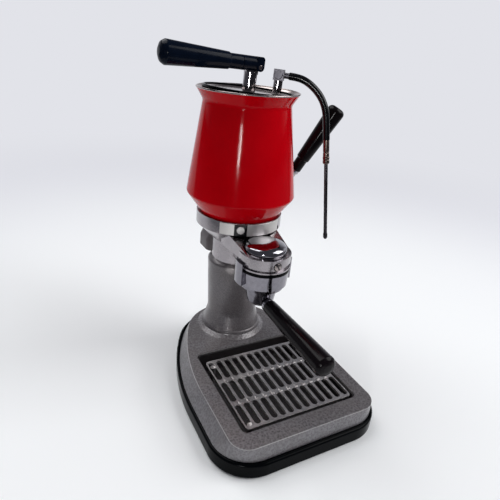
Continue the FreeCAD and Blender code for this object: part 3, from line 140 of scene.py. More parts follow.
def paper_floor():
    """Matt white card: white under the machine, pale lavender far away. To the left and the right, out
    of the picture, it ends and the dim floor of the room begins, which the metal and the red pot mirror."""
    finish = bpy.data.materials.new("matt_card")
    finish.use_nodes = True
    tree = finish.node_tree
    tree.nodes.clear()
    place = add_node(tree, "TexCoord").outputs["Object"]
    reach = add_node(tree, "VectorMath", links={0: place}, operation="LENGTH").outputs["Value"]
    far = add_node(tree, "MapRange", {"From Min": 0.30, "From Max": 1.1}, {"Value": reach},
                   interpolation_type="SMOOTHSTEP").outputs["Result"]
    colour = add_node(tree, "Mix", {6: linear("F8FAFB"), 7: linear(pale_card)}, {"Factor": far},
                      data_type="RGBA").outputs[2]
    rooms = []
    for side in ((-0.93, -0.37, 0), (0.58, -0.81, 0)):
        nearer = add_node(tree, "VectorMath", {1: side}, {0: place},
                          operation="DOT_PRODUCT").outputs["Value"]
        rooms.append(add_node(tree, "MapRange", {"From Min": 0.31, "From Max": 0.46}, {"Value": nearer},
                              interpolation_type="SMOOTHSTEP").outputs["Result"])
    room = add_node(tree, "Math", links={0: rooms[0], 1: rooms[1]}, operation="MAXIMUM").outputs[0]
    colour = add_node(tree, "Mix", {7: linear(dim_room)}, {"Factor": room, 6: colour},
                      data_type="RGBA").outputs[2]
    card = add_node(tree, "BsdfPrincipled", {"Roughness": 0.85, "Specular IOR Level": 0.2},
                    {"Base Color": colour})
    glow = add_node(tree, "Emission", {"Color": linear(pale_card), "Strength": 1})
    away = add_node(tree, "MapRange", {"From Min": 0.5, "From Max": 1.5}, {"Value": reach},
                    interpolation_type="SMOOTHSTEP").outputs["Result"]
    lit = add_node(tree, "Math", {0: 1}, {1: room}, operation="SUBTRACT").outputs[0]
    away = add_node(tree, "Math", links={0: away, 1: lit}, operation="MULTIPLY").outputs[0]
    both = add_node(tree, "MixShader", links={0: away, 1: card.outputs[0], 2: glow.outputs[0]})
    add_node(tree, "OutputMaterial", links={"Surface": both.outputs[0]})
    return finish


pick_nothing()
bpy.ops.mesh.primitive_circle_add(vertices=128, radius=12, fill_type="NGON")
floor = bpy.context.object
floor.name = "floor"
floor.data.materials.append(paper_floor())
print("floor is", floor.dimensions.x, "m across")

# %% [markdown]
# A real studio has a backdrop and a dark room round it. Here the sky plays both parts: its colour depends
# on how high a direction points and on whether it points away from the camera.

# %% Sky
sky = bpy.data.worlds.new("studio")
bpy.context.scene.world = sky
sky.use_nodes = True
sky.node_tree.nodes.clear()
direction = add_node(sky.node_tree, "TexCoord").outputs["Generated"]
split = add_node(sky.node_tree, "SeparateXYZ", links={0: direction})
height = add_node(sky.node_tree, "MapRange",
                  {"From Min": 0.22, "From Max": 0.62, "To Min": 1, "To Max": 0},
                  {"Value": split.outputs["Z"]}, interpolation_type="SMOOTHSTEP").outputs["Result"]
camera_way = (0.49, 0.87, 0)
along = add_node(sky.node_tree, "VectorMath", {1: camera_way}, {0: direction}, operation="DOT_PRODUCT")
behind = add_node(sky.node_tree, "MapRange", {"From Min": 0.0, "From Max": 0.7},
                  {"Value": along.outputs["Value"]}, interpolation_type="SMOOTHSTEP").outputs["Result"]
pale = add_node(sky.node_tree, "Math", links={0: height, 1: behind}, operation="MULTIPLY").outputs[0]
shade = add_node(sky.node_tree, "Mix", {6: linear("55555B"), 7: linear(pale_card)}, {"Factor": pale},
                 data_type="RGBA")
light = add_node(sky.node_tree, "Background", {"Strength": 1}, {"Color": shade.outputs[2]})
add_node(sky.node_tree, "OutputWorld", links={"Surface": light.outputs[0]})
print("sky is pale behind the machine and dim elsewhere")

# %% [markdown]
# The lamps are large and stand far off, so that their light is even and its shadows are soft.

# %% Lamps
def soft_lamp(name, spot, aim, width, depth, power):
    """A soft box: a glowing rectangle that looks at a point."""
    lamp_data = bpy.data.lights.new(name, "AREA")
    lamp_data.shape = "RECTANGLE"
    lamp_data.size = width
    lamp_data.size_y = depth
    lamp_data.energy = power
    lamp = bpy.data.objects.new(name, lamp_data)
    bpy.context.scene.collection.objects.link(lamp)
    lamp.location = spot
    lamp.rotation_euler = (Vector(aim) - Vector(spot)).to_track_quat("-Z", "Y").to_euler()
    return lamp


soft_lamp("right_soft_box", (1.85, -1.0, 1.95), (0, 0, 0.1), 2.0, 2.0, 54)
soft_lamp("left_soft_box", (-0.65, 1.25, 2.45), (-0.1, 0, 0.1), 2.0, 2.0, 43)
soft_lamp("window", (-0.94, -1.22, 0.335), (0, 0.05, 0.25), 0.14, 0.18, 5.2)
print("three lamps")

# %% [markdown]
# ## Ways of making pieces
#
# Most pieces of such a machine are turned on a lathe, spun or cast. A turned piece starts as a ring that
# is extruded and scaled level by level along its profile. A cast or milled piece starts as a merged copy
# of its solid, whose corners are then broken with a bevel, because no real edge is perfectly sharp and
# the thin highlight on a broken edge is what makes metal look like metal.

# %% Turned pieces
def rounded(points, steps=5):
    """A profile of (radius, height), where a third number rounds that corner with an arc."""
    outline = []
    for index, point in enumerate(points):
        corner = Vector(point[:2])
        if len(point) == 2:
            outline.append(tuple(corner))
            continue
        back = (Vector(points[index - 1][:2]) - corner).normalized()
        ahead = (Vector(points[index + 1][:2]) - corner).normalized()
        half = back.angle(ahead) / 2
        centre = corner + (back + ahead).normalized() * (point[2] / math.sin(half))
        first = corner + back * (point[2] / math.tan(half)) - centre
        last = corner + ahead * (point[2] / math.tan(half)) - centre
        for step in range(steps + 1):
            outline.append(tuple(centre + first.slerp(last, step / steps) * point[2]))
    return outline


def turned(name, profile, sides=72, hollow=False):
    """A ring extruded and scaled level by level. A hollow one ends where it started, as a tube wall does."""
    pick_nothing()
    radius, height = profile[0]
    bpy.ops.mesh.primitive_circle_add(vertices=sides, radius=radius * MM, location=(0, 0, height * MM),
                                      fill_type="NOTHING" if hollow else "NGON")
    piece = bpy.context.object
    piece.name = name
    piece.data.name = name
    bpy.ops.object.mode_set(mode="EDIT")
    bpy.ops.mesh.select_all(action="SELECT")
    for wider, higher in profile[1:]:
        bpy.ops.mesh.extrude_region_move(TRANSFORM_OT_translate={"value": (0, 0, (higher - height) * MM)})
        growth = wider / radius
        bpy.ops.transform.resize(value=(growth, growth, 1), center_override=(0, 0, higher * MM))
        radius, height = wider, higher
    bpy.ops.mesh.select_all(action="SELECT")
    bpy.ops.mesh.remove_doubles(threshold=0.000001)
    bpy.ops.mesh.normals_make_consistent(inside=False)
    bpy.ops.object.mode_set(mode="OBJECT")
    return piece


def settle(piece, spot=(0, 0, 0), along=(0, 0, 1), crease=40):
    """Moves a piece to its spot, lays its Z along a direction, and writes that place into its mesh. Light
    then runs smoothly over all its edges but those sharper than the crease angle in degrees."""
    pick(piece)
    lie = Vector(along).to_track_quat("Z", "Y").to_matrix().to_4x4()
    piece.matrix_world = Matrix.Translation(Vector(spot) * MM) @ lie @ piece.matrix_world
    bpy.ops.object.transform_apply(location=True, rotation=True, scale=True)
    bpy.ops.object.shade_smooth_by_angle(angle=math.radians(crease))
    return piece


print("a rounded corner has", len(rounded([(0, 0), (5, 0, 1), (5, 5)])) - 2, "points")

# %% Broken edges and fitting
def break_edges(piece, width, angle=30, segments=3):
    """Bevels every edge sharper than the angle, then lets the light run smoothly over the rest."""
    pick(piece)
    bevel = piece.modifiers.new("broken_edges", "BEVEL")
    bevel.width = width * MM
    bevel.segments = segments
    bevel.limit_method = "ANGLE"
    bevel.angle_limit = math.radians(angle)
    bpy.ops.object.modifier_apply(modifier=bevel.name)
    bpy.ops.object.shade_smooth_by_angle(angle=math.radians(40))
    even = piece.modifiers.new("even_light", "WEIGHTED_NORMAL")
    even.keep_sharp = True
    bpy.ops.object.modifier_apply(modifier=even.name)
    return piece


def copy_solid(name, node):
    """A copy of a solid's mesh with its doubled points merged and its flat faces made whole."""
    pick_nothing()
    piece = bpy.data.objects.new(name, frame["nodes"][node].data.copy())
    bpy.context.scene.collection.objects.link(piece)
    piece.data.name = name
    piece.data.materials.clear()
    pick(piece)
    bpy.ops.object.mode_set(mode="EDIT")
    bpy.ops.mesh.select_all(action="SELECT")
    bpy.ops.mesh.remove_doubles(threshold=0.000002)
    bpy.ops.mesh.dissolve_limited(angle_limit=math.radians(0.5))
    bpy.ops.object.mode_set(mode="OBJECT")
    return piece


slot_of = {item["node"]: item["material_slot"] for item in frame["record"]["subparts"]}
body_of = {node: body for body, nodes in frame["record"]["behaviour"]["bodies"].items() for node in nodes}


def fit(piece, node, finish):
    """The piece takes its finish, rides on the node's body and stands for the node."""
    piece.data.materials.clear()
    piece.data.materials.append(finish)
    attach(piece, body_of[node])
    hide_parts(node)
    print(piece.name, "stands for", node)
    return piece


def add_detail(piece, node, finish):
    """A small piece on a node: it takes its finish and rides on the node's body, and the node stays."""
    piece.data.materials.clear()
    piece.data.materials.append(finish)
    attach(piece, body_of[node])
    print(piece.name, "sits on", node)
    return piece


print(len(slot_of), "nodes have a finish")

# %% [markdown]
# ## Finishes
#
# Each finish starts from what the real surface is and how it was made. Patterns are worked out from real
# sizes and read Object coordinates, so they stay with the piece when it moves.

# %% A finish from its nodes
def start_finish(name):
    """An empty finish, its node tree and the place on the piece that its patterns read."""
    finish = bpy.data.materials.new(name)
    finish.use_nodes = True
    finish.node_tree.nodes.clear()
    return finish, finish.node_tree, add_node(finish.node_tree, "TexCoord").outputs["Object"]


def end_finish(tree, values, links):
    """The shader itself, with its constant values and the patterns that feed it."""
    shader = add_node(tree, "BsdfPrincipled", values, links)
    add_node(tree, "OutputMaterial", links={"Surface": shader.outputs[0]})


print("an empty finish reads Object coordinates")

# %% [markdown]
# Column and base wear grey hammer paint. Its aluminium flakes pull together into cells of one or two
# millimetres as it dries, which breaks up the light like beaten metal. A Voronoi pattern gives the cells,
# and noise stirs it, so that no two cells are alike.

# %% The relief of hammer paint
def hammer_relief(tree, place, cell):
    """Soft cells of one size in mm, stirred by noise, with a fine grit in them. Returns both together,
    and the grit alone."""
    stir = add_node(tree, "TexNoise", {"Scale": per_metre(cell * 1.6), "Detail": 2}, {"Vector": place})
    drift = add_node(tree, "VectorMath", {"Scale": cell * 0.9 * MM}, {0: stir.outputs["Color"]},
                     operation="SCALE").outputs[0]
    moved = add_node(tree, "VectorMath", links={0: place, 1: drift}, operation="ADD").outputs[0]
    cells = add_node(tree, "TexVoronoi", {"Scale": per_metre(cell)}, {"Vector": moved},
                     feature="SMOOTH_F1").outputs["Distance"]
    grit = add_node(tree, "TexNoise", {"Scale": per_metre(0.8), "Detail": 3},
                    {"Vector": place}).outputs["Fac"]
    relief = add_node(tree, "Mix", {"Factor": 0.3}, {2: cells, 3: grit}).outputs[0]
    return relief, grit


def painted_skirt_light(tree, place, colour, broad, level):
    """Painted light: below a level in mm the paint is paler, for the light falling on the skirt. Just above
    that level a pale line paints the highlight along the edge, brighter in some places than in others."""
    height = add_node(tree, "SeparateXYZ", links={0: place}).outputs["Z"]
    below = add_node(tree, "MapRange",
                     {"From Min": level * MM, "From Max": (level - 1) * MM, "To Max": 0.18},
                     {"Value": height}).outputs["Result"]
    colour = add_node(tree, "Mix", {7: linear("8E9097")}, {"Factor": below, 6: colour},
                      data_type="RGBA").outputs[2]
    away = add_node(tree, "Math", {1: (level + 0.4) * MM}, {0: height}, operation="SUBTRACT").outputs[0]
    away = add_node(tree, "Math", links={0: away}, operation="ABSOLUTE").outputs[0]
    edge = add_node(tree, "MapRange", {"From Min": 0.7 * MM, "From Max": 0.2 * MM, "To Max": 0.9},
                    {"Value": away}).outputs["Result"]
    edge = add_node(tree, "Math", links={0: edge, 1: broad}, operation="MULTIPLY").outputs[0]
    return add_node(tree, "Mix", {7: linear("D0CDCD")}, {"Factor": edge, 6: colour},
                    data_type="RGBA").outputs[2]


def painted_highlight_patch(tree, place, colour, grit, patch):
    """A painted highlight: the paint is lighter round a patch, (x, y, z, radius) in mm, with a ragged edge.
    """
    x, y, z, radius = patch
    offset = add_node(tree, "VectorMath", {1: (x * MM, y * MM, z * MM)}, {0: place},
                      operation="DISTANCE").outputs["Value"]
    ragged = add_node(tree, "Math", {1: 10 * MM}, {0: grit}, operation="MULTIPLY").outputs[0]
    reach = add_node(tree, "Math", links={0: offset, 1: ragged}, operation="ADD").outputs[0]
    near = add_node(tree, "MapRange",
                    {"From Min": (radius * 0.6 + 5) * MM, "From Max": (radius + 6) * MM,
                     "To Min": 0.75, "To Max": 0}, {"Value": reach}).outputs["Result"]
    return add_node(tree, "Mix", {7: linear("B5AFAE")}, {"Factor": near, 6: colour},
                    data_type="RGBA").outputs[2]


# The pale skirt is painted light on the skirt and its edge, and the lighter patches are painted highlights.
print("hammer paint is relief, a pale skirt and worn patches")

# %% Hammered paint
def hammered_paint(name, dark, light, cell, highlight_patches=(), skirt=None):
    """Grey hammer-finish enamel on cast iron: darker and lighter by its own relief, clouded in broad
    areas, and glossier where it ran together."""
    finish, tree, place = start_finish(name)
    relief, grit = hammer_relief(tree, place, cell)
    broad = add_node(tree, "TexNoise", {"Scale": per_metre(28), "Detail": 3},
                     {"Vector": place}).outputs["Fac"]
    tone = add_node(tree, "MapRange", {"From Min": 0.22, "From Max": 0.58},
                    {"Value": relief}).outputs["Result"]
    colour = add_node(tree, "Mix", {6: linear(dark), 7: linear(light)}, {"Factor": tone},
                      data_type="RGBA").outputs[2]
    cloud = add_node(tree, "MapRange", {"From Min": 0.35, "From Max": 0.7, "To Max": 0.4},
                     {"Value": broad}).outputs["Result"]
    colour = add_node(tree, "Mix", {7: linear("625B59")}, {"Factor": cloud, 6: colour},
                      data_type="RGBA").outputs[2]
    # A skirt level adds painted light: a paler skirt and a painted highlight along the deck edge.
    if skirt is not None:
        colour = painted_skirt_light(tree, place, colour, broad, skirt)
    # Each patch is a painted highlight, a lighter spot on the paint.
    for patch in highlight_patches:
        colour = painted_highlight_patch(tree, place, colour, grit, patch)
    gloss = add_node(tree, "MapRange", {"To Min": 0.28, "To Max": 0.5}, {"Value": broad}).outputs["Result"]
    bump = add_node(tree, "Bump", {"Strength": 0.8, "Distance": cell * 0.18 * MM},
                    {"Height": relief}).outputs["Normal"]
    end_finish(tree, {"Metallic": 0.4, "Coat Weight": 0.35, "Coat Roughness": 0.15},
               {"Base Color": colour, "Roughness": gloss, "Normal": bump})
    return finish


# The base's paler skirt and its bright deck edge are painted light and a painted highlight.
base_paint = hammered_paint("hammered_enamel", "4E4A4C", "7C797C", 2.0, skirt=32.6)
# The two lighter patches on the column, near its top and near its foot, are painted highlights.
column_paint = hammered_paint("hammered_enamel_column", "524E51", "716D70", 1.2,
                              [(-18, 47, 126, 6), (-33, 47, 44, 7)])
print("two hammered paints")

# %% [markdown]
# The head was cast in sand, then filed and buffed by hand. Buffing leaves low waves that bend the
# reflections, and a haze that comes and goes, so both its roughness and its relief follow broad noise.

# %% Cast and polished aluminium
def polished_casting():
    """Sand-cast aluminium, filed and buffed by hand: bright, but never quite flat, with a soft haze."""
    finish, tree, place = start_finish("polished_cast_aluminium")
    broad = add_node(tree, "TexNoise", {"Scale": per_metre(14), "Detail": 3},
                     {"Vector": place}).outputs["Fac"]
    fine = add_node(tree, "TexNoise", {"Scale": per_metre(1.2), "Detail": 4},
                    {"Vector": place}).outputs["Fac"]
    colour = add_node(tree, "Mix", {6: linear("8A8589"), 7: linear("B6B1B4")}, {"Factor": broad},
                      data_type="RGBA").outputs[2]
    haze = add_node(tree, "Mix", {"Factor": 0.5}, {2: broad, 3: fine}).outputs[0]
    gloss = add_node(tree, "MapRange", {"From Min": 0.3, "From Max": 0.7, "To Min": 0.14, "To Max": 0.34},
                     {"Value": haze}).outputs["Result"]
    wave = add_node(tree, "Bump", {"Strength": 0.25, "Distance": 0.6 * MM},
                    {"Height": broad}).outputs["Normal"]
    bump = add_node(tree, "Bump", {"Strength": 0.12, "Distance": 0.1 * MM},
                    {"Height": fine, "Normal": wave}).outputs["Normal"]
    end_finish(tree, {"Metallic": 1}, {"Base Color": colour, "Roughness": gloss, "Normal": bump})
    return finish


casting = polished_casting()
print("cast aluminium")

# %% [markdown]
# Plated, turned and brushed parts differ in colour, in roughness and in whether a tool left lines. One
# function makes them all. Grinding lines are noise that is squeezed along one axis.

# %% Chrome, steel and brass
def bare_metal(name, dark, light, least, most, lines=None):
    """A bare or plated metal. With lines, fine grinding marks run across that axis, about 0.3 mm apart."""
    finish, tree, place = start_finish(name)
    stretch = (1, 1, 1)
    if lines is not None:
        stretch = tuple(12 if axis == lines else 0.6 for axis in range(3))
    marks = add_node(tree, "Mapping", {"Scale": stretch}, {"Vector": place}).outputs["Vector"]
    grain = add_node(tree, "TexNoise", {"Scale": per_metre(3.5), "Detail": 4},
                     {"Vector": marks}).outputs["Fac"]
    smudge = add_node(tree, "TexNoise", {"Scale": per_metre(9), "Detail": 3},
                      {"Vector": place}).outputs["Fac"]
    colour = add_node(tree, "Mix", {6: linear(dark), 7: linear(light)}, {"Factor": grain},
                      data_type="RGBA").outputs[2]
    both = add_node(tree, "Mix", {"Factor": 0.5}, {2: grain, 3: smudge}).outputs[0]
    gloss = add_node(tree, "MapRange", {"From Min": 0.3, "From Max": 0.7, "To Min": least, "To Max": most},
                     {"Value": both}).outputs["Result"]
    bump = add_node(tree, "Bump", {"Strength": 0.06, "Distance": 0.1 * MM},
                    {"Height": grain}).outputs["Normal"]
    end_finish(tree, {"Metallic": 1}, {"Base Color": colour, "Roughness": gloss, "Normal": bump})
    return finish


upright = 2
chrome = bare_metal("chrome_plate", "8C8A90", "ABA9AE", 0.05, 0.13)
dull_chrome = bare_metal("dull_chrome_plate", "75737A", "95939A", 0.07, 0.16)
worn_plating = bare_metal("worn_nickel_plating", "55535A", "85838A", 0.36, 0.52)
steel = bare_metal("stainless_steel", "8F8584", "B5ABA8", 0.14, 0.26, lines=upright)
polished_steel = bare_metal("polished_steel", "8B878A", "B9B5B7", 0.05, 0.12)
brown_steel = bare_metal("heat_browned_steel", "5B4F49", "8A7C74", 0.2, 0.34)
dark_steel = bare_metal("oxidised_steel_tube", "2C2A2D", "4A464B", 0.2, 0.34)
grate_metal = bare_metal("tumbled_aluminium", "B9B6B6", "DAD7D6", 0.26, 0.42)
satin = bare_metal("satin_aluminium", "D6D3D0", "EEEBE8", 0.38, 0.52, lines=upright)
brass = bare_metal("brass", "96753A", "BE9A54", 0.2, 0.35)
print("ten bare metals")

# %% [markdown]
# The pot is stove-enamelled: paint baked hard on spun steel. Its red is deep because the gloss over it
# mirrors mostly the dim room, so the shine is set low and the surface almost smooth.

# %% Red enamel
def red_enamel():
    """Stove enamel on spun steel: a deep even red under a hard gloss, with the faint ripple of sprayed
    paint and a few rubbed, duller patches."""
    finish, tree, place = start_finish("red_stove_enamel")
    ripple = add_node(tree, "TexNoise", {"Scale": per_metre(2.2), "Detail": 2},
                      {"Vector": place}).outputs["Fac"]
    rub = add_node(tree, "TexNoise", {"Scale": per_metre(24), "Detail": 4},
                   {"Vector": place}).outputs["Fac"]
    colour = add_node(tree, "Mix", {6: linear("B6000D"), 7: linear("C8000F")}, {"Factor": rub},
                      data_type="RGBA").outputs[2]
    gloss = add_node(tree, "MapRange", {"From Min": 0.35, "From Max": 0.7, "To Min": 0.06, "To Max": 0.13},
                     {"Value": rub}).outputs["Result"]
    bump = add_node(tree, "Bump", {"Strength": 0.05, "Distance": 0.1 * MM},
                    {"Height": ripple}).outputs["Normal"]
    end_finish(tree, {"Specular IOR Level": 0.10},
               {"Base Color": colour, "Roughness": gloss, "Normal": bump})
    return finish


enamel = red_enamel()
print("red enamel")

# %% [markdown]
# Handles are pressed from black bakelite, seals and boot from rubber, the inlet and the tray from other
# plastics. All come out of a mould with a fine skin, and dust or hands dull them in places.

# %% Plastics and rubber
def moulded(name, dark, light, least, most, grain, depth, shine=0.5):
    """A moulded or cast polymer: fine skin grain of a given size in mm, and dust or wear that dulls it."""
    finish, tree, place = start_finish(name)
    skin = add_node(tree, "TexNoise", {"Scale": per_metre(grain), "Detail": 3},
                    {"Vector": place}).outputs["Fac"]
    dust = add_node(tree, "TexNoise", {"Scale": per_metre(11), "Detail": 5},
                    {"Vector": place}).outputs["Fac"]
    colour = add_node(tree, "Mix", {6: linear(dark), 7: linear(light)}, {"Factor": dust},
                      data_type="RGBA").outputs[2]
    gloss = add_node(tree, "MapRange", {"From Min": 0.3, "From Max": 0.7, "To Min": least, "To Max": most},
                     {"Value": dust}).outputs["Result"]
    bump = add_node(tree, "Bump", {"Strength": 0.2, "Distance": depth * MM},
                    {"Height": skin}).outputs["Normal"]
    end_finish(tree, {"Specular IOR Level": shine},
               {"Base Color": colour, "Roughness": gloss, "Normal": bump})
    return finish


bakelite = moulded("black_bakelite", "070D18", "0B1424", 0.10, 0.22, 5, 0.02, shine=0.07)
warm_bakelite = moulded("warm_black_bakelite", "0A0709", "120E11", 0.10, 0.22, 5, 0.02, shine=0.10)
rubber = moulded("black_rubber", "020304", "06080B", 0.10, 0.18, 1.4, 0.02, shine=0.04)
hose_skin = moulded("black_hose_rubber", "06070A", "0C0E12", 0.14, 0.26, 0.9, 0.03, shine=0.3)
black_enamel = moulded("black_enamel", "060608", "0D0D10", 0.12, 0.2, 0.8, 0.03)
grey_plastic = moulded("warm_grey_plastic", "4C4648", "5E5759", 0.35, 0.5, 0.8, 0.08)
tray_plastic = moulded("dark_tray_plastic", "1E1B1C", "2E2A2B", 0.3, 0.45, 1.0, 0.08)
print("seven polymers")

# %% [markdown]
# Solids that get no piece of their own, such as the screws and the inner parts, still show a little or
# come out when the machine is taken apart. They are dressed by the slot that the record gives them.

# %% Every solid gets its finish
finish_of = {"black_rubber": rubber, "base_paint": base_paint, "polished_aluminium": casting,
             "chrome": chrome, "bright_steel": steel, "satin_plate": satin, "black_enamel": black_enamel,
             "grey_plastic": grey_plastic, "brass": brass, "red_enamel": enamel,
             "dark_tray": tray_plastic, "black_plastic": bakelite, "black_hose": hose_skin}
for node, solid in frame["nodes"].items():
    solid.data.materials.clear()
    solid.data.materials.append(finish_of[slot_of[node]])
print("finished", len(frame["nodes"]), "solids")

# %% [markdown]
# ## Steam hose
#
# A short rubber hose carries steam from the swivel block on the lid down to a thin wand. It leaves the
# barb level, bows over under its own weight and hangs almost straight at its coupling. The photograph
# shows it from end to end. It is one smooth curve through the points of its route.

# %% Hose
hose_radius = 3.85
route = [(43.972, 66.228, 338.323), (51.526, 60.317, 337.927), (59.586, 54.038, 334.573),
         (67.623, 47.758, 327.473), (74.006, 42.771, 318.573), (78.340, 39.385, 307.173),
         (80.626, 37.600, 292.473), (82.359, 36.245, 277.073)]
hose_curve = bpy.data.curves.new("hose", "CURVE")
hose_curve.dimensions = "3D"
spline = hose_curve.splines.new("NURBS")
spline.points.add(len(route) - 1)
for point, spot in zip(spline.points, route):
    point.co = (*(Vector(spot) * MM), 1)
spline.order_u = 3
spline.use_endpoint_u = True
spline.resolution_u = 12
hose_curve.bevel_depth = hose_radius * MM
hose_curve.bevel_resolution = 6
hose_curve.use_fill_caps = True
hose = bpy.data.objects.new("hose", hose_curve)
bpy.context.scene.collection.objects.link(hose)
fit(hose, "steam_hose", hose_skin)

# %% [markdown]
# The coupling is a turned steel ferrule with a groove, and a swaged band holds the thin wand in its end.
# Heat has browned both, so their steel is darker than that of the lid.

# %% Coupling, wand and tip
coupling_length = 27
wand_length = 84
hose_end = Vector(route[-1])
hose_aim = (hose_end - Vector(route[-2])).normalized()
coupling = turned("coupling", rounded([(2.9, -0.8), (3.5, -0.8, 0.3), (3.5, 13.2, 0.2), (3.1, 13.6),
                                       (3.1, 14.2), (3.5, 14.6, 0.2), (3.5, 18.7, 0.2), (3.75, 19.1, 0.2),
                                       (3.75, 21.3, 0.3), (3.45, 21.7), (3.45, 22.3), (3.75, 22.7, 0.3),
                                       (3.75, 26, 0.5), (2.75, coupling_length, 0.3),
                                       (2.1, coupling_length)], 3), 40)
settle(coupling, hose_end, hose_aim, crease=35)
fit(coupling, "hose_coupling", brown_steel)
wand = turned("wand", rounded([(1.4, 0), (2.1, 0, 0.3), (2.1, wand_length, 0.3), (1.4, wand_length)], 3), 28)
settle(wand, hose_end + hose_aim * coupling_length, hose_aim, crease=35)
fit(wand, "steam_wand", dark_steel)
tip = turned("tip", rounded([(1.8, 0), (2.6, 0, 0.5), (2.6, 5, 0.6), (1.3, 7, 0.4), (0.7, 7),
                             (0.7, 5.5)], 3), 28)
settle(tip, hose_end + hose_aim * (coupling_length + wand_length), hose_aim, crease=35)
fit(tip, "wand_tip", dark_steel)

# %% [markdown]
# ## Base
#
# The base is a heavy iron casting in hammered enamel that sits in a rubber boot. Castings have soft
# edges, so both start as copies of their solids and get broad bevels. Round the foot of the column the
# casting rises in a soft hollow, which is turned as its own piece and laid on the deck.

# %% Boot and casting
boot = break_edges(copy_solid("boot", "rubber_boot"), 2.6, segments=5)
fit(boot, "rubber_boot", rubber)
base = break_edges(copy_solid("base", "base_casting"), 1.5, segments=4)
fit(base, "base_casting", base_paint)
column_axis = (0, 73, 0)
deck_top = 34.0
foot_radius = 43.6
hollow_width = 7
hollow_height = 5.6
rise = []
for step in range(11):
    swing = math.radians(step * 9)
    rise.append((foot_radius - hollow_width * math.sin(swing),
                 deck_top + hollow_height * (1 - math.cos(swing))))
foot = turned("column_foot", [(foot_radius, deck_top - 0.4)] + rise, 96)
settle(foot, column_axis, crease=50)
add_detail(foot, "base_casting", base_paint)

# %% [markdown]
# The drip tray is a moulded tub that lifts out of the recess. The grate on it is one light casting with
# three rows of slots, tumbled until its edges are round, so its copy gets a bevel on every edge.

# %% Tray and grate
tray = break_edges(copy_solid("tray", "drip_tray"), 0.5)
fit(tray, "drip_tray", tray_plastic)
grate = break_edges(copy_solid("grate", "drip_grate"), 0.7)
fit(grate, "drip_grate", grate_metal)

# %% [markdown]
# ## Column and head
#
# The column is a painted casting with a waist. The head is cast aluminium: a neck that opens into the
# collar which holds the pot, and in front of it the ring of the group with the bayonet for the filter
# holder. A chromed dome covers the lever's crank.

# %% Column
column = turned("column_shell", rounded([(36.5, 38), (36.5, 40.6, 1.0), (35.2, 42.2, 2), (30.6, 60, 30),
                                         (33.4, 127.2, 2.5), (29.4, 131.5)], 8), 96)
settle(column, column_axis, crease=50)
fit(column, "column", column_paint)

# %% [markdown]
# The head keeps the shape of its solid, with filed edges. The dome is spun sheet: full at its shoulder and
# nearly flat on top, where it mirrors the pot. A slotted screw clamps the ring; its dark gap is painted
# shade.

# %% Head casting and dome
head = break_edges(copy_solid("head", "head_casting"), 0.9, segments=3)
fit(head, "head_casting", casting)
group_axis = (0, 5, 0)
dome_radius = 23.5
dome_foot = 166.5
dome_height = 10.8
fullness = 4
dome_rise = []
for step in range(15):
    radius = dome_radius * math.cos(math.radians(step * 6.4))
    share = (1 - (radius / dome_radius) ** fullness) ** (1 / fullness)
    dome_rise.append((radius, dome_foot + dome_height * share))
dome = turned("dome", dome_rise, 96)
settle(dome, group_axis, crease=180)
fit(dome, "dome_cap", chrome)

# %% Ring screw and group gasket
front = (0, -1, 0)
screw_spot = (0, -23.4, 160.5)
slot_turn = math.radians(32)
screw = turned("screw", rounded([(4.0, -1.5), (4.0, 0.7, 0.4), (0.4, 0.9)], 4), 40)
pick_nothing()
bpy.ops.mesh.primitive_cube_add(size=1, location=(0, 0, 1 * MM), rotation=(0, 0, slot_turn))
cutter = bpy.context.object
cutter.dimensions = (1.5 * MM, 12 * MM, 2.4 * MM)
cut = screw.modifiers.new("slot", "BOOLEAN")
cut.object = cutter
cut.solver = "EXACT"
pick(screw)
bpy.ops.object.modifier_apply(modifier=cut.name)
pick(cutter)
bpy.ops.object.delete()
settle(screw, screw_spot, front, crease=30)
fit(screw, "ring_screw", steel)
# A thin black disc under the screw head is painted shade: the dark gap round the screw.
screw_gap_shade = turned("screw_gap_shade", rounded([(4.7, -1.0), (4.7, 0.12, 0.1), (0.4, 0.12)], 2), 40)
settle(screw_gap_shade, screw_spot, front)
add_detail(screw_gap_shade, "ring_screw", black_enamel)
# The black band is the rubber gasket, drawn taller than the seal so that it also paints the dark line of
# shade just above it.
gasket_and_shade_band = turned("gasket_and_shade_band", rounded([(26.2, 147.9), (28.62, 147.9, 0.6), (28.62, 152.1, 0.8), (26.2, 152.1),
                                   (26.2, 147.9)], 4), 96, hollow=True)
settle(gasket_and_shade_band, group_axis)
add_detail(gasket_and_shade_band, "group_seal", rubber)

# %% [markdown]
# A curved strip of satin sheet lies on the front of the collar, with a black enamelled square on it that
# carries a small turned disc. Sheet has sharp edges, so their bevels are narrow.

# %% Plate and badge
plate = break_edges(copy_solid("plate", "collar_plate"), 0.2)
fit(plate, "collar_plate", satin)
badge = break_edges(copy_solid("badge", "badge_square"), 0.2)
fit(badge, "badge_square", black_enamel)
medallion = turned("medallion", rounded([(4.3, 0), (4.3, 0.6, 0.3), (3.7, 0.9, 0.2), (3.4, 0.6),
                                         (0.3, 0.75)], 3), 40)
collar_middle = Vector((0, 73, 183.5))
badge_reach = 50.3
badge_turn = math.radians(-90 - 23.5)
badge_out = Vector((math.cos(badge_turn), math.sin(badge_turn), 0))
settle(medallion, collar_middle + badge_out * badge_reach, badge_out, crease=35)
add_detail(medallion, "badge_square", satin)

# %% [markdown]
# The inlet housing is a moulded box whose upper half leans in. Its mesh is cut at half height and the
# top is drawn inwards, before its edges are rounded.

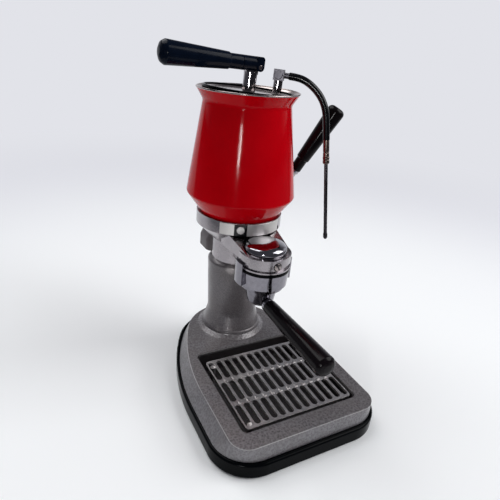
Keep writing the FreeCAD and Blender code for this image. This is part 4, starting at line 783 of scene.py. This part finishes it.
# %% Inlet housing
inlet_knee = 145.5
inlet_top = 155.5
inlet = copy_solid("inlet", "inlet_housing")
pick(inlet)
bpy.ops.object.mode_set(mode="EDIT")
bpy.ops.mesh.select_all(action="SELECT")
bpy.ops.mesh.bisect(plane_co=(0, 0, inlet_knee * MM), plane_no=(0, 0, 1))
bpy.ops.mesh.select_all(action="DESELECT")
bpy.ops.object.mode_set(mode="OBJECT")
for corner in inlet.data.vertices:
    corner.select = corner.co.z > (inlet_top - 0.5) * MM and abs(corner.co.x) > 20 * MM
bpy.ops.object.mode_set(mode="EDIT")
bpy.ops.transform.resize(value=(0.83, 1, 1), center_override=(0, 0, inlet_top * MM))
bpy.ops.object.mode_set(mode="OBJECT")
break_edges(inlet, 1.2)
fit(inlet, "inlet_housing", grey_plastic)

# %% [markdown]
# ## Pot and lid
#
# The pot is spun from steel sheet: a tight belly, a long taper, and a mouth that flares like a trumpet
# under a rolled steel rim. The lid lies in the mouth on a black seal, dished so that it drains.

# %% Pot
outside = rounded([(44.7, 182.9), (46.2, 184.4), (46.2, 190.4, 1), (61.8, 211.9, 4.2), (47.45, 310.5, 7),
                   (54.2, 321.4, 2), (54.9, 322.6)], 9)
inside = rounded([(53.4, 322.6), (53.2, 321.9, 3), (45.9, 310.6, 8), (60.2, 212.1, 3.4), (44.9, 191, 1),
                  (44.0, 186, 1), (42.0, 184.6)], 5)
pot = turned("pot", outside + inside, 128)
settle(pot, column_axis, crease=35)
fit(pot, "pot_shell", enamel)

# %% [markdown]
# The sheet's edge is rolled outwards into a bead that is left bare. So is the inside of the mouth, down to
# the lid, where paint would wear off.

# %% Rim and the bare steel inside the mouth
bead = 0.95
roll = []
for angle in range(0, 361, 30):
    roll.append((54.35 + bead * math.cos(math.radians(angle)), 322.75 + bead * math.sin(math.radians(angle))))
rim = turned("rim", roll, 128, hollow=True)
settle(rim, column_axis, crease=180)
fit(rim, "rim_trim", steel)
lining = turned("lining", [(53.45, 322.6), (52.9, 322.3), (49.2, 316.6), (49.6, 316.6), (53.45, 322.6)], 128,
                hollow=True)
settle(lining, column_axis, crease=30)
add_detail(lining, "rim_trim", steel)

# %% [markdown]
# The lid leans by three degrees in the mouth, as it was laid there by hand. It is turned upright about its
# own middle and then settled along the leaning axis, and its seal with it.

# %% Lid
lean = Matrix.Rotation(math.radians(3), 3, "Y")
lid_middle = Vector((0, 73, 320.3))
lid_up = lean @ Vector((0, 0, 1))
lid = turned("lid", rounded([(44, -1.5), (46.4, -1.5, 0.4), (46.4, 1.5, 0.6), (44.6, 1.5, 1.0),
                             (42.4, 0.3, 2), (20, 0.9, 5), (9.5, 1.4, 1), (8.4, 1.5)], 4), 128)
settle(lid, lid_middle, lid_up)
fit(lid, "lid_plate", steel)
seal = turned("seal", rounded([(46.6, -2.4), (48.7, -2.4, 0.8), (48.7, 3.4, 0.9), (46.6, 3.4, 0.6), (46.5, 0),
                               (46.6, -2.4)], 4), 128, hollow=True)
settle(seal, lid_middle, lid_up, crease=50)
fit(seal, "lid_seal", rubber)

# %% [markdown]
# A slotted post on the lid holds a fork of bakelite on a pin, and the handle is screwed into the fork. The
# handle swells towards its domed end, as a turned one does, so that it stays in the hand.

# %% Lid post, fork and handle
post = break_edges(copy_solid("post", "lid_post"), 0.5)
fit(post, "lid_post", polished_steel)
fork = break_edges(copy_solid("fork", "lid_fork"), 0.9)
fit(fork, "lid_fork", bakelite)
pin = break_edges(copy_solid("pin", "lid_pin"), 0.4)
fit(pin, "lid_pin", steel)
lid_grip = turned("lid_grip", rounded([(6.0, 0), (7.3, 0, 1.0), (7.3, 14, 0.5), (8.3, 15, 0.5),
                                       (11.65, 80.4, 2.6), (9.2, 84.6, 4), (4.6, 86.4, 5),
                                       (0.4, 86.7)], 6), 64)
settle(lid_grip, (-10.52, 73, 348.79), (-0.99863, 0, 0.05234))
fit(lid_grip, "lid_handle", bakelite)

# %% [markdown]
# Steam leaves through a second, thinner post. A nickel-plated block turns on it with the hose, held by a
# bolt, and years of heat and hands have left its plating dull.

# %% Steam post and swivel
steam_post = break_edges(copy_solid("steam_pillar", "steam_post"), 0.5)
fit(steam_post, "steam_post", polished_steel)
swivel = break_edges(copy_solid("swivel", "swivel_block"), 0.9)
fit(swivel, "swivel_block", worn_plating)
bolt = break_edges(copy_solid("bolt", "swivel_bolt"), 0.6)
fit(bolt, "swivel_bolt", worn_plating)

# %% [markdown]
# ## Lever
#
# A round steel arm leans back from the hub on the shaft's end and carries a black tapered knob.

# %% Lever arm and handle
arm = break_edges(copy_solid("arm", "lever_arm"), 0.6)
fit(arm, "lever_arm", steel)
ferrule = break_edges(copy_solid("ferrule", "lever_ferrule"), 0.5)
fit(ferrule, "lever_ferrule", chrome)
nut = break_edges(copy_solid("nut", "hub_nut"), 0.5)
fit(nut, "hub_nut", steel)
hub = Vector((49.367, 101.057, 168))
arm_aim = Vector((0.42371, -0.21776, 0.87924))
knob = turned("knob", rounded([(4.6, 71.2), (6.8, 71.2, 1.0), (6.8, 85.8, 0.6), (8.1, 87.3, 0.6),
                               (10.9, 157.6, 6.0), (0.4, 158.1)], 10), 56)
settle(knob, hub, arm_aim)
fit(knob, "lever_handle", warm_bakelite)

# %% [markdown]
# ## Filter holder
#
# The filter holder is chromed brass. Its two ears hook into the ring, its bowl steps down to the outlet,
# and its tapered black grip points forwards and a little down.

# %% Filter holder and grip
holder = break_edges(copy_solid("holder", "portafilter_body"), 0.7)
fit(holder, "portafilter_body", dull_chrome)
collar = break_edges(copy_solid("grip_collar", "handle_collar"), 0.5)
fit(collar, "handle_collar", chrome)
outlet = break_edges(copy_solid("outlet", "spout"), 0.4)
fit(outlet, "spout", chrome)
grip = turned("grip", rounded([(5.5, 4), (8.05, 4, 1.0), (10.95, 108.4, 2.4), (8.4, 111.5, 4),
                               (4.2, 112.5, 5), (0.4, 112.7)], 6), 64)
settle(grip, (0, -12.298, 109.291), (0, -0.99982, -0.0192))
fit(grip, "portafilter_handle", warm_bakelite)
